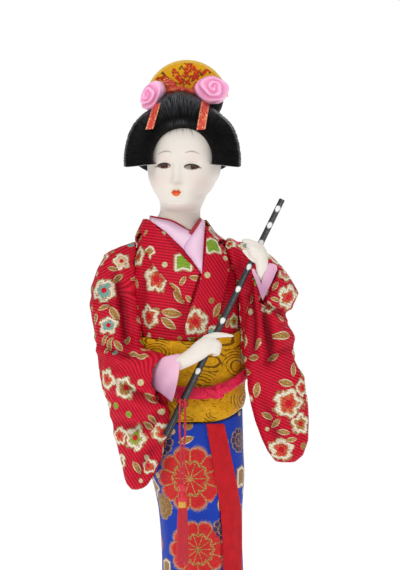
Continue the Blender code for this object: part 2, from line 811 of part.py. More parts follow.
RIGHT_SLEEVE = [
    # x, y, z of the outer edge, then of the inner edge, then the thickness
    (-22.0, 0.0, 217.4, -17.5, 0.5, 212.0, 8.0),
    (-27.0, 0.0, 215.4, -19.0, 0.5, 208.5, 13.0),
    (-32.3, -0.5, 212.2, -20.0, 0.5, 205.0, 16.0),
    (-35.3, -1.0, 206.9, -20.5, 0.3, 201.5, 17.0),
    (-37.6, -1.5, 200.8, -20.5, 0.0, 197.5, 17.0),
    (-38.6, -2.5, 194.7, -20.5, -0.5, 193.0, 16.5),
    (-38.0, -3.5, 188.5, -20.5, -1.5, 188.0, 16.5),
    (-36.9, -4.5, 182.6, -20.0, -4.0, 182.6, 17.0),
    (-35.7, -6.0, 177.2, -17.0, -13.0, 177.0, 16.0),
    (-35.1, -7.0, 172.7, -10.8, -23.5, 174.8, 13.0),
    (-34.6, -7.5, 167.4, -11.8, -23.5, 169.6, 12.5),
    (-33.4, -8.0, 161.2, -13.4, -23.0, 163.7, 11.5),
    (-32.0, -8.5, 155.6, -8.6, -22.5, 156.0, 10.5),
    (-30.4, -9.0, 149.6, -8.8, -21.5, 149.4, 9.5),
    (-28.7, -9.5, 143.4, -10.4, -20.8, 142.3, 8.5),
    (-27.2, -10.0, 136.8, -12.5, -20.0, 134.7, 7.5),
    (-25.6, -11.0, 130.2, -15.0, -18.6, 129.0, 6.4),
    (-24.2, -12.0, 125.8, -18.0, -16.8, 125.4, 4.8),
    (-22.8, -13.2, 123.8, -19.8, -15.4, 124.0, 2.6),
]
LEFT_UPPER_SLEEVE = [
    # x, y, z of the upper edge, then of the lower edge, then the thickness
    (9.0, 1.0, 217.2, 11.0, 1.0, 203.0, 16.0),
    (17.9, -0.5, 217.9, 18.5, 0.0, 198.5, 18.0),
    (26.2, -3.0, 214.9, 24.7, -2.5, 192.8, 18.0),
    (31.9, -5.5, 209.2, 29.3, -5.5, 189.0, 17.0),
    (36.1, -7.5, 203.8, 33.8, -8.0, 188.6, 14.0),
    (39.0, -9.0, 197.8, 37.4, -9.5, 191.7, 8.0),
]
LEFT_LOWER_SLEEVE = [
    # x, y, z of the inner edge, then of the outer edge, then the thickness
    (22.6, -19.5, 206.2, 31.4, -17.0, 207.4, 7.0),
    (21.7, -19.0, 200.4, 35.7, -14.0, 203.5, 13.0),
    (21.3, -18.0, 194.7, 39.1, -11.5, 197.8, 15.0),
    (20.8, -17.0, 189.6, 37.4, -10.5, 192.4, 15.0),
    (20.4, -16.0, 184.0, 35.6, -10.0, 187.0, 14.0),
    (20.0, -15.0, 177.0, 37.6, -9.5, 180.0, 12.5),
    (19.9, -14.5, 170.0, 39.2, -9.5, 172.6, 11.5),
    (20.8, -14.0, 163.0, 41.2, -9.5, 165.6, 10.5),
    (22.0, -13.5, 156.0, 43.6, -9.5, 158.0, 9.5),
    (23.9, -13.0, 149.4, 44.1, -9.5, 149.8, 8.5),
    (26.0, -12.5, 143.6, 43.8, -9.8, 142.0, 7.2),
    (28.5, -12.2, 138.1, 41.8, -10.2, 136.4, 5.4),
    (31.4, -11.8, 134.3, 38.6, -10.6, 134.0, 2.8),
]

LEFT_INNER_SLEEVE = [
    # x, y, z of the edge by the body, then of the edge inside the bag, then the thickness
    (15.0, -3.0, 208.0, 28.0, -8.0, 206.0, 9.0),
    (16.0, -4.0, 199.0, 29.0, -9.0, 198.0, 9.0),
    (16.5, -5.0, 190.0, 29.0, -10.0, 190.0, 8.0),
    (17.0, -7.0, 181.5, 29.0, -10.5, 182.0, 7.0),
    (19.0, -9.0, 174.0, 29.0, -11.0, 174.5, 5.0),
    (22.0, -11.5, 169.0, 29.0, -12.0, 169.0, 3.0),
]


def flat_rings(sections, sides):
    """Flattened loops, each from one edge to the other with a thickness to front and back."""
    rings = []
    for x1, y1, z1, x2, y2, z2, thickness in sections:
        start = Vector((x1, y1, z1))
        end = Vector((x2, y2, z2))
        middle = 0.5 * (start + end)
        reach = 0.5 * (end - start)
        along = reach.normalized()
        out = (FRONT - along * FRONT.dot(along)).normalized()
        ring = []
        for k in range(sides):
            across, depth = oval(2.0 * math.pi * k / sides, 1.0, 0.5 * thickness, 2.3)
            ring.append(tuple(middle + reach * across - out * depth))
        rings.append(ring)
    return rings


def right_sleeve_mesh(rooms, *neighbours):
    """The sleeve of the lowered arm: upper arm, bent forearm and hanging bag."""
    sleeve = loft(flat_rings(RIGHT_SLEEVE, SLEEVE_SIDES))
    return clear_of(cut(sleeve, rooms), *neighbours)


def left_sleeve_mesh(rooms, *neighbours):
    """The sleeve of the raised arm: upper arm, hanging bag, and the layer between bag and body."""
    upper = loft(flat_rings(resample(LEFT_UPPER_SLEEVE, 7), SLEEVE_SIDES))
    lower = loft(flat_rings(resample(LEFT_LOWER_SLEEVE, 13), SLEEVE_SIDES))
    inner = loft(flat_rings(resample(LEFT_INNER_SLEEVE, 6), 8))
    sleeve = combine(combine(upper, lower, "UNION"), inner, "UNION")
    return clear_of(cut(sleeve, rooms), *neighbours)


RIGHT_CUFF = [
    # x, y, z of the upper edge, then of the lower edge, then the thickness
    (-17.0, -19.5, 172.5, -17.0, -19.5, 160.0, 6.0),
    (-11.0, -23.2, 173.6, -12.0, -22.6, 157.4, 7.0),
    (-4.9, -26.2, 174.6, -7.9, -24.0, 155.2, 7.0),
]
LEFT_CUFF = [(22.2, 205.8), (29.0, 208.9), (31.7, 206.8), (27.9, 199.2), (26.1, 195.0), (24.6, 199.8)]


def right_cuff_mesh():
    """The pink under-sleeve at the lowered wrist, before its opening is cut."""
    return loft(flat_rings(resample(RIGHT_CUFF, 4), 12))


def left_cuff_mesh():
    """The pink under-sleeve at the raised wrist, which runs down to a point, before its opening is cut."""
    return prism(LEFT_CUFF, -25.6, -16.0)


RIGHT_HAND = [
    # each run: x, y, z and radius at every joint
    [(-13.0, -23.4, 168.6, 2.4), (-5.0, -26.8, 171.6, 2.7),
     (0.6, -28.4, 174.4, 3.1), (4.6, -29.2, 177.4, 3.4)],
    [(4.0, -28.8, 179.2, 2.0), (7.6, -29.2, 181.2, 1.5),
     (11.4, -28.8, 182.1, 1.0), (14.4, -28.4, 182.0, 0.8)],
    [(5.4, -29.6, 178.0, 2.2), (8.8, -29.6, 179.0, 1.4),
     (9.9, -27.6, 177.0, 1.15), (8.2, -26.2, 176.2, 1.0)],
    [(4.8, -29.4, 176.4, 2.0), (7.8, -29.6, 177.0, 1.4),
     (9.4, -28.2, 175.8, 1.1), (8.0, -26.6, 175.4, 1.0)],
    [(1.6, -28.0, 176.6, 2.0), (4.8, -26.6, 180.0, 1.3), (7.6, -26.0, 181.4, 0.9)],
]
LEFT_HAND = [
    [(26.6, -20.5, 196.5, 2.3), (26.4, -25.2, 205.4, 2.5),
     (26.0, -27.0, 209.6, 2.7), (25.0, -28.2, 213.2, 2.9)],
    [(25.2, -28.4, 214.8, 2.2), (22.6, -28.8, 216.8, 1.4),
     (20.2, -27.2, 217.6, 1.0), (19.4, -26.0, 217.6, 0.8)],
    [(25.0, -28.6, 213.6, 2.2), (22.2, -29.0, 215.2, 1.4),
     (20.9, -27.2, 215.6, 1.1), (21.0, -25.6, 215.8, 0.9)],
    [(25.0, -28.4, 212.4, 2.0), (22.4, -28.6, 213.4, 1.3),
     (21.4, -26.8, 213.6, 1.0), (21.6, -25.4, 213.8, 0.9)],
    [(25.4, -26.8, 209.8, 1.9), (21.9, -26.6, 211.4, 1.25), (19.6, -26.6, 213.4, 0.85)],
]


def hand_mesh(runs, faces, flute):
    """A hand that closes round the flute, with its forearm stub."""
    points = [[joint[:3] for joint in run] for run in runs]
    radii = [[joint[3] for joint in run] for run in runs]
    return clear_of(rounded(points, radii, 0.42, faces), flute)


# The flute and its cord

FLUTE_TOP = Vector((33.6, -24.0, 233.1))
FLUTE_TOWARDS = Vector((-10.1, -24.0, 144.2))
TIE_DISTANCE = 85.0
KNOT_TOP = 126.6
KNOT_X = -3.85


def flute_point(distance):
    """A point on the flute's axis, by its distance from the upper end in drawn millimetres."""
    return FLUTE_TOP + (FLUTE_TOWARDS - FLUTE_TOP).normalized() * distance


def flute_radius(distance):
    """The flute's radius at a distance from its upper end."""
    share = distance / drawn(FLUTE_LENGTH)
    return 0.5 * drawn(FLUTE_TOP_DIAMETER + share * (FLUTE_END_DIAMETER - FLUTE_TOP_DIAMETER))


def flute_mesh():
    """The tapered stick."""
    length = drawn(FLUTE_LENGTH)
    distances = [0.0, 0.4, 0.25 * length, 0.5 * length, 0.75 * length, length - 0.4, length]
    radii = [flute_radius(distance) for distance in distances]
    radii[0] *= 0.8
    radii[-1] *= 0.8
    return tube([tuple(flute_point(distance)) for distance in distances], radii, 12)


def tie_mesh():
    """The cord's turn round the flute."""
    middle = flute_point(TIE_DISTANCE)
    axis = (FLUTE_TOWARDS - FLUTE_TOP).normalized()
    side = axis.cross(FRONT).normalized()
    radius = flute_radius(TIE_DISTANCE) + GAP + 0.5 * drawn(TIE_DIAMETER)
    points = []
    faces = []
    turns = 12
    sides = 5
    for i in range(turns):
        angle = 2.0 * math.pi * i / turns
        out = side * math.cos(angle) - FRONT * math.sin(angle)
        for k in range(sides):
            turn = 2.0 * math.pi * k / sides
            reach = 0.5 * drawn(TIE_DIAMETER)
            away = out * (radius + reach * math.cos(turn))
            points.append(tuple(middle + away + axis * reach * math.sin(turn)))
            j = (k + 1) % sides
            after = (i + 1) % turns
            faces.append((i * sides + k, i * sides + j, after * sides + j, after * sides + k))
    return mesh_of(points, faces)


def hanging_y():
    """Depth at which the strands hang: in front of the turn round the flute."""
    stick = flute_radius(TIE_DISTANCE) + 2.0 * GAP
    return FLUTE_TOP.y - stick - drawn(TIE_DIAMETER) - 0.5 * drawn(CORD_DIAMETER)


STRAND_RIGHT = [
    # x and z, from the turn round the flute down to the tassel's knot
    (-4.7, 158.3), (-4.85, 154.0), (-4.9, 148.0), (-4.75, 143.5),
    (-4.4, 140.0), (-4.4, 133.0), (-4.4, 126.9),
]
STRAND_LEFT = [
    (-2.9, 158.3), (-2.85, 154.0), (-2.85, 148.0), (-3.0, 143.5),
    (-3.3, 140.0), (-3.3, 133.0), (-3.3, 126.9),
]


def add_strand(name, route):
    """One hanging strand of the flute's cord, as a bevelled curve."""
    data = bpy.data.curves.new(name, "CURVE")
    data.dimensions = "3D"
    data.bevel_depth = 0.5 * CORD_DIAMETER
    data.bevel_resolution = 2
    data.use_fill_caps = True
    spline = data.splines.new("POLY")
    points = resample(route, 16)
    spline.points.add(len(points) - 1)
    for point, (x, z) in zip(spline.points, points):
        point.co = (*place((x, hanging_y(), z)), 1.0)
    data.materials.append(finish_material(name, "red_cord"))
    strand = bpy.data.objects.new(name, data)
    bpy.context.scene.collection.objects.link(strand)
    return strand


def tassel_mesh():
    """The tassel: knot, bound head and fringe."""
    radius = 0.5 * drawn(TASSEL_DIAMETER)
    length = drawn(TASSEL_LENGTH)
    shape = [
        (0.20, 0.000), (0.52, 0.012), (0.62, 0.045), (0.50, 0.085), (0.40, 0.105), (0.62, 0.130),
        (0.72, 0.180), (0.70, 0.225), (0.60, 0.245), (0.62, 0.275), (0.60, 0.300), (0.72, 0.340),
        (0.86, 0.480), (0.95, 0.750), (1.00, 0.980), (0.80, 1.000),
    ]
    profile = [(radius * wide, KNOT_TOP - length * down) for wide, down in shape]
    return turned(profile, (KNOT_X, hanging_y()))


# The head

HEAD_MIDDLE = (-3.4, 0.4)
HEAD_TURN = math.radians(12.0)
HEAD_WIDTHS = [
    # z, half width, depth of the face, depth of the back
    (228.6, 7.0, 8.4, 6.0),
    (230.4, 8.0, 11.6, 8.0),
    (233.0, 9.1, 12.1, 10.0),
    (237.0, 11.5, 12.9, 12.0),
    (241.0, 13.1, 13.3, 13.6),
    (245.0, 13.8, 13.3, 14.8),
    (250.0, 13.9, 13.9, 15.6),
    (256.0, 13.4, 14.1, 15.0),
    (260.5, 11.9, 12.9, 13.0),
    (264.0, 8.8, 9.4, 9.6),
    (266.4, 4.0, 4.2, 4.6),
]
HEAD_CROWN = 266.6
# Height of the jaw's edge under the chin, and how much higher it is at the back
JAW = 229.0
JAW_RISE = 6.5
NECK_HALF_WIDTH = 7.8
NECK_HALF_DEPTH = 7.4
NECK_SHIFT = -2.1


def face_relief(across, z):
    """How far the features stand out of the plain face, by place across the face and height."""
    nose = 2.5 * bump(across, 0.0, 1.75) * bump(z, 240.0, 2.0)
    bridge = 1.1 * bump(across, 0.0, 1.7) * bump(z, 244.4, 3.2)
    sockets = -0.75 * (bump(across, -5.4, 3.0) + bump(across, 5.4, 3.0)) * bump(z, 245.6, 2.2)
    brows = 0.35 * (bump(across, -5.0, 4.0) + bump(across, 5.0, 4.0)) * bump(z, 249.6, 2.2)
    lips = 0.75 * bump(across, 0.0, 2.6) * bump(z, 235.6, 1.5)
    dent = -0.5 * bump(across, 0.0, 3.2) * bump(z, 232.9, 1.0)
    chin = 0.7 * bump(across, 0.0, 3.4) * bump(z, 230.6, 1.6)
    cheeks = 0.35 * (bump(across, -7.5, 3.2) + bump(across, 7.5, 3.2)) * bump(z, 239.0, 3.4)
    return nose + bridge + sockets + brows + lips + dent + chin + cheeks


def head_point(angle, z):
    """A point of the head or neck; angle 0 faces forward and grows to the doll's left."""
    share = 0.5 - 0.5 * math.cos(angle)
    half_width, face_depth, back_depth = at_height(HEAD_WIDTHS, z)
    depth = face_depth if abs(angle) < 0.5 * math.pi else back_depth
    across, forward = oval(0.5 * math.pi - angle, half_width, depth, 2.25)
    jaw = JAW + JAW_RISE * share
    side = 1.0 - abs(math.cos(angle))
    skull = blend(z, jaw - 1.3 - 2.0 * side, jaw + 1.5 + side)
    neck_across, neck_forward = oval(0.5 * math.pi - angle, NECK_HALF_WIDTH, NECK_HALF_DEPTH, 2.0)
    foot = 1.0 - blend(z, 221.0, 229.0)
    neck_forward -= 2.2 - 0.8 * foot
    neck_across += NECK_SHIFT
    across = neck_across + (across - neck_across) * skull
    forward = neck_forward + (forward - neck_forward) * skull
    if math.cos(angle) > 0.0:
        forward += skull * face_relief(across, z)
    return turn_head(across, forward, z)


def turn_head(across, forward, z):
    """Head coordinates, turned to where the doll looks."""
    x = HEAD_MIDDLE[0] + across * math.cos(HEAD_TURN) - forward * math.sin(HEAD_TURN)
    y = HEAD_MIDDLE[1] - across * math.sin(HEAD_TURN) - forward * math.cos(HEAD_TURN)
    return x, y, z


def head_angles():
    """Angles round the head, closer together over the face."""
    angles = []
    for k in range(BODY_SIDES):
        turn = 2.0 * math.pi * k / BODY_SIDES - math.pi
        angles.append(turn - 0.62 * math.sin(turn))
    return angles


def head_mesh():
    """The head and neck, down to the yoke that sits in the kimono's neck opening."""
    angles = head_angles()
    pit = Vector(NECK_PIT)
    rim = [Vector(point) for point in torso_rings()[-1]]
    quarter = BODY_SIDES // 4
    rings = []
    for share, lift in ((0.86, 1.5 * GAP), (0.80, 0.72 + GAP), (0.73, 1.56 + GAP)):
        edge = [rim[(k + quarter) % BODY_SIDES] for k in range(BODY_SIDES)]
        rings.append([tuple(pit.lerp(point, share) + UP * lift) for point in edge])
    levels = [228.2, 229.2, 230.6, 232.4, 234.2, 235.6, 237.0, 238.6, 240.0, 241.4]
    levels += [243.4, 245.6, 248.0, 251.4, 255.5, 259.5, 263.0, 265.6]
    for z in levels:
        rings.append([head_point(angle, z) for angle in angles])
    crown = turn_head(0.0, -0.6, HEAD_CROWN)
    return loft(rings, start_tip=tuple(pit + UP * 1.5 * GAP), end_tip=crown)


# The wig and what it wears

HAIR_MIDDLE = (-4.0, 248.0)
WING_LOW = math.radians(-7.0)
WING_HIGH = math.radians(187.0)
# Degrees over which the wig's outline drops from a side puff to the nape, in front and further back
WING_TURN = 3.0
BACK_TURN = 10.0
LAST_SHARP_KEY = 9


def hair_reach(angle):
    """Radius of the wig's outline in the front view."""
    degrees = math.degrees(angle)
    return 22.2 + 4.2 * bump(degrees, 94.0, 27.0)


def valley(x, z):
    """Depth of the two grooves between the front roll and the side puffs."""
    left = bump(x, -16.6 + 0.14 * (z - 261.0), 1.9)
    right = bump(x, 3.4 + 0.20 * (z - 261.0), 1.9)
    return (left + right) * blend(z, 257.0, 262.0)


def hair_profile(angle, number):
    """Radius and depth of one key of the wig's profile, for an angle in the front view."""
    reach = hair_reach(angle)
    top = bump(math.degrees(angle), 93.0, 42.0)
    upper = [
        (11.3, -9.0), (12.0, -11.4 - 1.6 * top), (14.0, -13.2 - 3.0 * top), (17.6, -13.0 - 3.6 * top),
        (reach - 1.6, -9.6 - 1.2 * top), (reach, -4.0), (reach - 0.8 * top, 1.0), (reach - 1.4, 7.0),
        (0.78 * reach, 15.0), (0.42 * reach, 20.6),
    ]
    low_reach = 12.6 + 0.8 * math.cos(2.0 * angle)
    lower = [
        (4.0, -3.0), (4.0, -2.0), (4.5, -1.0), (5.0, 0.0), (5.5, 1.5), (6.5, 3.5), (9.0, 6.5),
        (low_reach, 10.5), (0.88 * low_reach, 16.5), (0.48 * low_reach, 21.0),
    ]
    return upper[number], lower[number]


def hair_point(angle, number):
    """A point of the wig by its angle in the front view and its profile key."""
    upper, lower = hair_profile(angle, number)
    below = max(WING_LOW - angle, angle - WING_HIGH)
    sharp = math.radians(WING_TURN + BACK_TURN * max(number - LAST_SHARP_KEY, 0))
    share = blend(below, 0.0, sharp)
    radius = upper[0] + (lower[0] - upper[0]) * share
    depth = upper[1] + (lower[1] - upper[1]) * share
    x = HAIR_MIDDLE[0] + radius * math.cos(angle)
    z = HAIR_MIDDLE[1] + radius * math.sin(angle)
    groove = 1.7 * valley(x, z) * (1.0 - blend(depth, -3.0, 6.0))
    radius -= 0.6 * groove
    depth += 0.8 * groove
    return (HAIR_MIDDLE[0] + radius * math.cos(angle), depth, HAIR_MIDDLE[1] + radius * math.sin(angle))


def hair_angles():
    """Angles round the wig: fine over the arch, coarse below."""
    arch = [WING_LOW + (WING_HIGH - WING_LOW) * k / 25 for k in range(26)]
    below = [WING_HIGH + math.radians(3.2) + math.radians(159.6) * k / 8 for k in range(9)]
    return arch + [angle - 2.0 * math.pi if angle > math.radians(270.0) else angle for angle in below]


def hair_mesh(comb):
    """The wig: front roll, side puffs, nape puff and topknot."""
    keys = 10
    rings = []
    for row in (0.0, 1.0, 2.0, 2.5, 3.0, 3.5, 4.0, 5.0, 6.0, 7.0, 8.0, 9.0):
        ring = []
        for angle in hair_angles():
            points = [hair_point(angle, number) for number in range(keys)]
            ring.append(tuple(curve_through(points, row)))
        rings.append(ring)
    middle_x, middle_z = HAIR_MIDDLE
    wig = loft(rings, start_tip=(middle_x, -5.0, middle_z), end_tip=(middle_x, 23.0, middle_z - 2.0))
    wig = combine(wig, topknot_mesh(), "UNION")
    wig = combine(wig, skull_mesh(), "DIFFERENCE")
    return clear_of(wig, comb)


def skull_mesh():
    """The room that the head needs inside the wig: a plain form round it, clear of its facets."""
    grow = 2.0 * GAP
    rings = []
    for z in (222.0, 229.5, 233.0, 238.0, 243.0, 248.0, 253.0, 257.0, 260.5, 263.4, 265.8):
        ring = []
        for k in range(20):
            angle = 2.0 * math.pi * k / 20 - math.pi
            x, y, _ = head_point(angle, z)
            out = Vector((x - HEAD_MIDDLE[0], y - HEAD_MIDDLE[1], 0.0)).normalized() * grow
            ring.append((x + out.x, y + out.y, z))
        rings.append(ring)
    return loft(rings, end_tip=turn_head(0.0, -0.6, HEAD_CROWN + grow))


TOPKNOT_MIDDLE = (-1.6, 10.6, 273.0)
TOPKNOT_HALF = (13.4, 8.2, 12.6)


def topknot_mesh():
    """The round knot of hair behind the comb."""
    rings = []
    for share in (-0.97, -0.7, -0.3, 0.15, 0.6, 0.95):
        swell = math.sqrt(1.0 - share * share)
        ring = []
        for k in range(18):
            x, z = oval(2.0 * math.pi * k / 18, TOPKNOT_HALF[0] * swell, TOPKNOT_HALF[2] * swell, 2.1)
            y = TOPKNOT_MIDDLE[1] + TOPKNOT_HALF[1] * share
            ring.append((TOPKNOT_MIDDLE[0] + x, y, TOPKNOT_MIDDLE[2] + z))
        rings.append(ring)
    return loft(rings)


COMB_MIDDLE = (-2.3, 270.6)
COMB_FRONT = 0.6
COMB_FOOT = 271.6


def comb_mesh():
    """The round comb: a plate with a raised rim, cut off flat inside the hair."""
    radius = drawn(COMB_RADIUS)
    thickness = drawn(COMB_THICKNESS)
    plate = COMB_FRONT + 0.22 * thickness
    loops = [
        (0.86, plate), (0.90, COMB_FRONT), (0.985, COMB_FRONT), (1.0, COMB_FRONT + 0.25 * thickness),
        (1.0, COMB_FRONT + 0.85 * thickness), (0.97, COMB_FRONT + thickness),
    ]
    rings = []
    for share, depth in loops:
        ring = []
        for k in range(32):
            angle = 2.0 * math.pi * k / 32
            x = COMB_MIDDLE[0] + share * radius * math.cos(angle)
            z = COMB_MIDDLE[1] + share * radius * math.sin(angle)
            ring.append((x, depth, z))
        rings.append(ring)
    disc = loft(rings)
    outline = [(-30.0, COMB_FOOT), (30.0, COMB_FOOT), (30.0, 300.0), (-30.0, 300.0)]
    return combine(disc, prism(outline, -10.0, 10.0), "INTERSECT")


def hair_band_mesh(hair, comb):
    """The glittering band between the front roll and the comb."""
    points = []
    for k in range(9):
        angle = math.radians(64.0 + 58.0 * k / 8)
        reach = hair_reach(angle) + 0.5
        x = HAIR_MIDDLE[0] + reach * math.cos(angle)
        points.append((x, -1.6, HAIR_MIDDLE[1] + reach * math.sin(angle)))
    return clear_of(tube(points, [1.3] * 9, 6), hair, comb)


RIBBONS = {
    # upper middle x and z, lower middle x and z, half width
    "hair_ribbon_right": (-14.6, 266.4, -16.2, 260.2, 1.40),
    "hair_ribbon_left": (4.4, 267.6, 3.3, 260.6, 1.40),
}


def ribbon_mesh(hair, upper_x, upper_z, lower_x, lower_z, half_width, extra=0.0):
    """A brocade tab that lies in a groove of the wig, or, with an extra, the room that it needs."""
    surface = surface_of(hair)
    lift = 3.2 * GAP - extra
    thickness = drawn(RIBBON_THICKNESS) + 2.0 * extra
    half_width += extra
    rings = []
    for k in range(7):
        share = k / 6
        x = upper_x + (lower_x - upper_x) * share
        z = upper_z + (lower_z - upper_z) * share
        front = []
        back = []
        for side in (-1.0, -0.33, 0.33, 1.0):
            y = front_depth(surface, x + side * half_width, z)
            back.append((x + side * half_width, y - lift, z))
            front.append((x + side * half_width, y - lift - thickness, z))
        rings.append(back + front[::-1])
    return loft(rings)


ROSES = {
    # middle x, y and z, direction that it faces, radius
    "rose_right": ((-16.4, -6.4, 273.6), (-0.55, -0.80, 0.22), 5.4),
    "rose_left": ((7.5, -5.6, 275.4), (0.16, -0.96, 0.22), 5.9),
}


def rose_mesh(middle, facing, radius):
    """A satin rose: a dome that one spiral fold winds up."""
    axis = Vector(facing).normalized()
    side = axis.cross(UP).normalized()
    top = side.cross(axis)
    rings = []
    for share in (1.0, 1.0, 0.86, 0.70, 0.54, 0.38, 0.22, 0.08):
        ring = []
        for k in range(16):
            angle = 2.0 * math.pi * k / 16
            fold = math.cos(2.0 * math.pi * (share / 0.32 - k / 16))
            height = 0.72 * radius * (1.0 - share ** 2.4) + 0.42 * fold * blend(share, 0.0, 0.3)
            if not rings:
                height = -0.45 * radius
            reach = radius * share * (1.0 + 0.04 * math.cos(5.0 * angle + 2.0))
            offset = side * math.cos(angle) + top * math.sin(angle)
            ring.append(tuple(Vector(middle) + offset * reach + axis * height))
        rings.append(ring)
    return loft(rings)


def build():
    """Clear the scene and make every piece."""
    for item in list(bpy.data.objects):
        bpy.data.objects.remove(item, do_unlink=True)
    add_object("base", base_mesh(), "lacquer")
    skirt = loft(skirt_rings(), end_tip=(*OBI_MIDDLE, OBI_FOOT - GAP))
    body = loft(torso_rings(), start_tip=(*OBI_MIDDLE, OBI_BRIM + GAP), end_tip=NECK_PIT)
    trunk = trunk_clearance()
    head = head_mesh()
    collar = collar_mesh(body)
    band = front_band_mesh(skirt)
    bow = bow_mesh(trunk.copy())
    shoulders = collar_clearance(body)
    flute = flute_mesh()
    hand_right = hand_mesh(RIGHT_HAND, HAND_FACES, flute)
    hand_left = hand_mesh(LEFT_HAND, HAND_FACES, flute)
    cuff_right = right_cuff_mesh()
    cuff_left = left_cuff_mesh()
    sleeve_right = right_sleeve_mesh((trunk, shoulders[0]), cuff_right, hand_right)
    sleeve_left = left_sleeve_mesh((trunk, shoulders[1]), cuff_left, hand_left)
    comb = comb_mesh()
    hair = hair_mesh(comb)
    hair_band = hair_band_mesh(hair, comb)
    add_object("skirt", skirt, "blue_brocade")
    add_object("front_band", band, "red_cloth")
    add_object("obi", obi_mesh(), "gold_brocade")
    add_object("obi_cord", obi_cord_mesh(), "red_cord")
    add_object("obi_bow", bow, "gold_brocade")
    add_object("kimono_body", body, "red_brocade")
    add_object("kimono_collar", collar, "red_brocade")
    add_object("inner_collar", inner_collar_mesh(body), "pink_cloth")
    add_object("sleeve_right", sleeve_right, "red_brocade")
    add_object("sleeve_left", sleeve_left, "red_brocade")
    add_object("cuff_right", clear_of(cuff_right, hand_right), "pink_cloth")
    add_object("cuff_left", clear_of(cuff_left, hand_left), "pink_cloth")
    add_object("hand_right", hand_right, "skin")
    add_object("hand_left", hand_left, "skin")
    add_object("flute", flute, "black_stick")
    add_object("flute_tie", tie_mesh(), "red_cord")
    add_strand("flute_cord_right", STRAND_RIGHT)
    add_strand("flute_cord_left", STRAND_LEFT)
    add_object("tassel", tassel_mesh(), "red_cord")
    add_object("head", head, "skin")
    add_object("hair", hair, "hair")
    add_object("comb", comb, "gold_plate")
    add_object("hair_band", hair_band, "red_brocade")
    rooms = []
    for name, place_of_ribbon in RIBBONS.items():
        add_object(name, ribbon_mesh(hair, *place_of_ribbon), "red_brocade")
        rooms.append(ribbon_mesh(hair, *place_of_ribbon, GAP))
    for name, (middle, facing, radius) in ROSES.items():
        rose = cut(rose_mesh(middle, facing, radius), rooms)
        add_object(name, clear_of(rose, hair, comb, hair_band), "pink_satin")


if __name__ == "__main__":
    build()
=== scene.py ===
"""The looks of the geisha doll: camera, light, cloth, hair, painted face and every finish.

The figure is drawn as in the part's source: in millimetres, x to the viewer's right, y to the back,
z up from the top of the base. Names use the doll's own left and right.
"""

import math

import bmesh
import bpy
import numpy as np
from mathutils import Matrix, Vector
from mathutils.bvhtree import BVHTree


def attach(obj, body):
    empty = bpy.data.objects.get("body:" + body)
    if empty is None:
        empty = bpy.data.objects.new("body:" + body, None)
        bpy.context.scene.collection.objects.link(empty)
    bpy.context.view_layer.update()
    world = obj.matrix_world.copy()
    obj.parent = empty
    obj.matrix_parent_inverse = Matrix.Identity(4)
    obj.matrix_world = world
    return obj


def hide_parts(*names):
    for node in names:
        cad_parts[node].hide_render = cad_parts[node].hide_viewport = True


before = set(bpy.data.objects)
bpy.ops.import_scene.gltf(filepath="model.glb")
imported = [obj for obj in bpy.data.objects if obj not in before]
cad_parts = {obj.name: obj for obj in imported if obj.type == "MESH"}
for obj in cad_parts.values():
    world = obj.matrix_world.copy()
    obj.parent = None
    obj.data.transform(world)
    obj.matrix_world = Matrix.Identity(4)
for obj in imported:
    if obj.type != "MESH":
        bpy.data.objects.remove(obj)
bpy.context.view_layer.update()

MM = 0.001
BASE_HEIGHT = 14.0
GAP = 0.3
VIEW_START_Y = -80.0
INTO_VIEW = Vector((0.0, 1.0, 0.0))
RANDOM = np.random.default_rng(7)


def metres(points):
    """Drawn points as metres in the part's frame."""
    return (np.asarray(points, float) + (0.0, 0.0, BASE_HEIGHT)) * MM


def smooth_step(value, low, high):
    """0 below low, 1 above high, smooth between; for numbers and arrays."""
    share = np.clip((value - low) / (high - low), 0.0, 1.0)
    return share * share * (3.0 - 2.0 * share)


def fade(value, low, high):
    """1 below low, 0 above high, smooth between."""
    return 1.0 - smooth_step(value, low, high)


def bump(value, centre, width):
    """A smooth hill of height 1."""
    return np.exp(-((value - centre) / width) ** 2)


def curve_through(keys, position):
    """Read a smooth curve through rows of numbers; position runs from 0 to len(keys) - 1."""
    keys = np.asarray(keys, float)
    position = np.asarray(position, float)
    index = np.clip(position.astype(int), 0, len(keys) - 2)
    share = (position - index)[..., None]
    a = keys[np.maximum(index - 1, 0)]
    b = keys[index]
    c = keys[index + 1]
    d = keys[np.minimum(index + 2, len(keys) - 1)]
    bend = a - 2.5 * b + 2.0 * c - 0.5 * d
    twist = 0.5 * (d - a) + 1.5 * (b - c)
    return b + share * (0.5 * (c - a) + share * (bend + share * twist))


def at_height(keys, z):
    """Read a smooth curve through rows that begin with a height, at an array of heights."""
    keys = np.asarray(keys, float)
    heights = keys[:, 0]
    order = np.arange(len(keys), dtype=float)
    if heights[0] > heights[-1]:
        position = np.interp(z, heights[::-1], order[::-1])
    else:
        position = np.interp(z, heights, order)
    return curve_through(keys[:, 1:], position)


def oval(angle, half_width, half_depth, square=2.3):
    """A point of a squared oval; angle 0 is at +x and a quarter turn is at the back."""
    c = np.cos(angle)
    s = np.sin(angle)
    x = np.copysign(np.abs(c) ** (2.0 / square), c) * half_width
    y = np.copysign(np.abs(s) ** (2.0 / square), s) * half_depth
    return x, y


def turns(count):
    """Angles of a full turn."""
    return np.arange(count) * (math.tau / count)


def around(steps, sides):
    """Steps by the angles of a full turn, as two grids."""
    return np.meshgrid(steps, turns(sides), indexing="ij")


def tipped(x, z, degrees):
    """Turn x and z in the front view."""
    c, s = math.cos(math.radians(degrees)), math.sin(math.radians(degrees))
    return x * c - z * s, x * s + z * c


def unit(ways):
    """Vectors at length 1."""
    return ways / np.linalg.norm(ways, axis=-1)[..., None]


# Camera and light

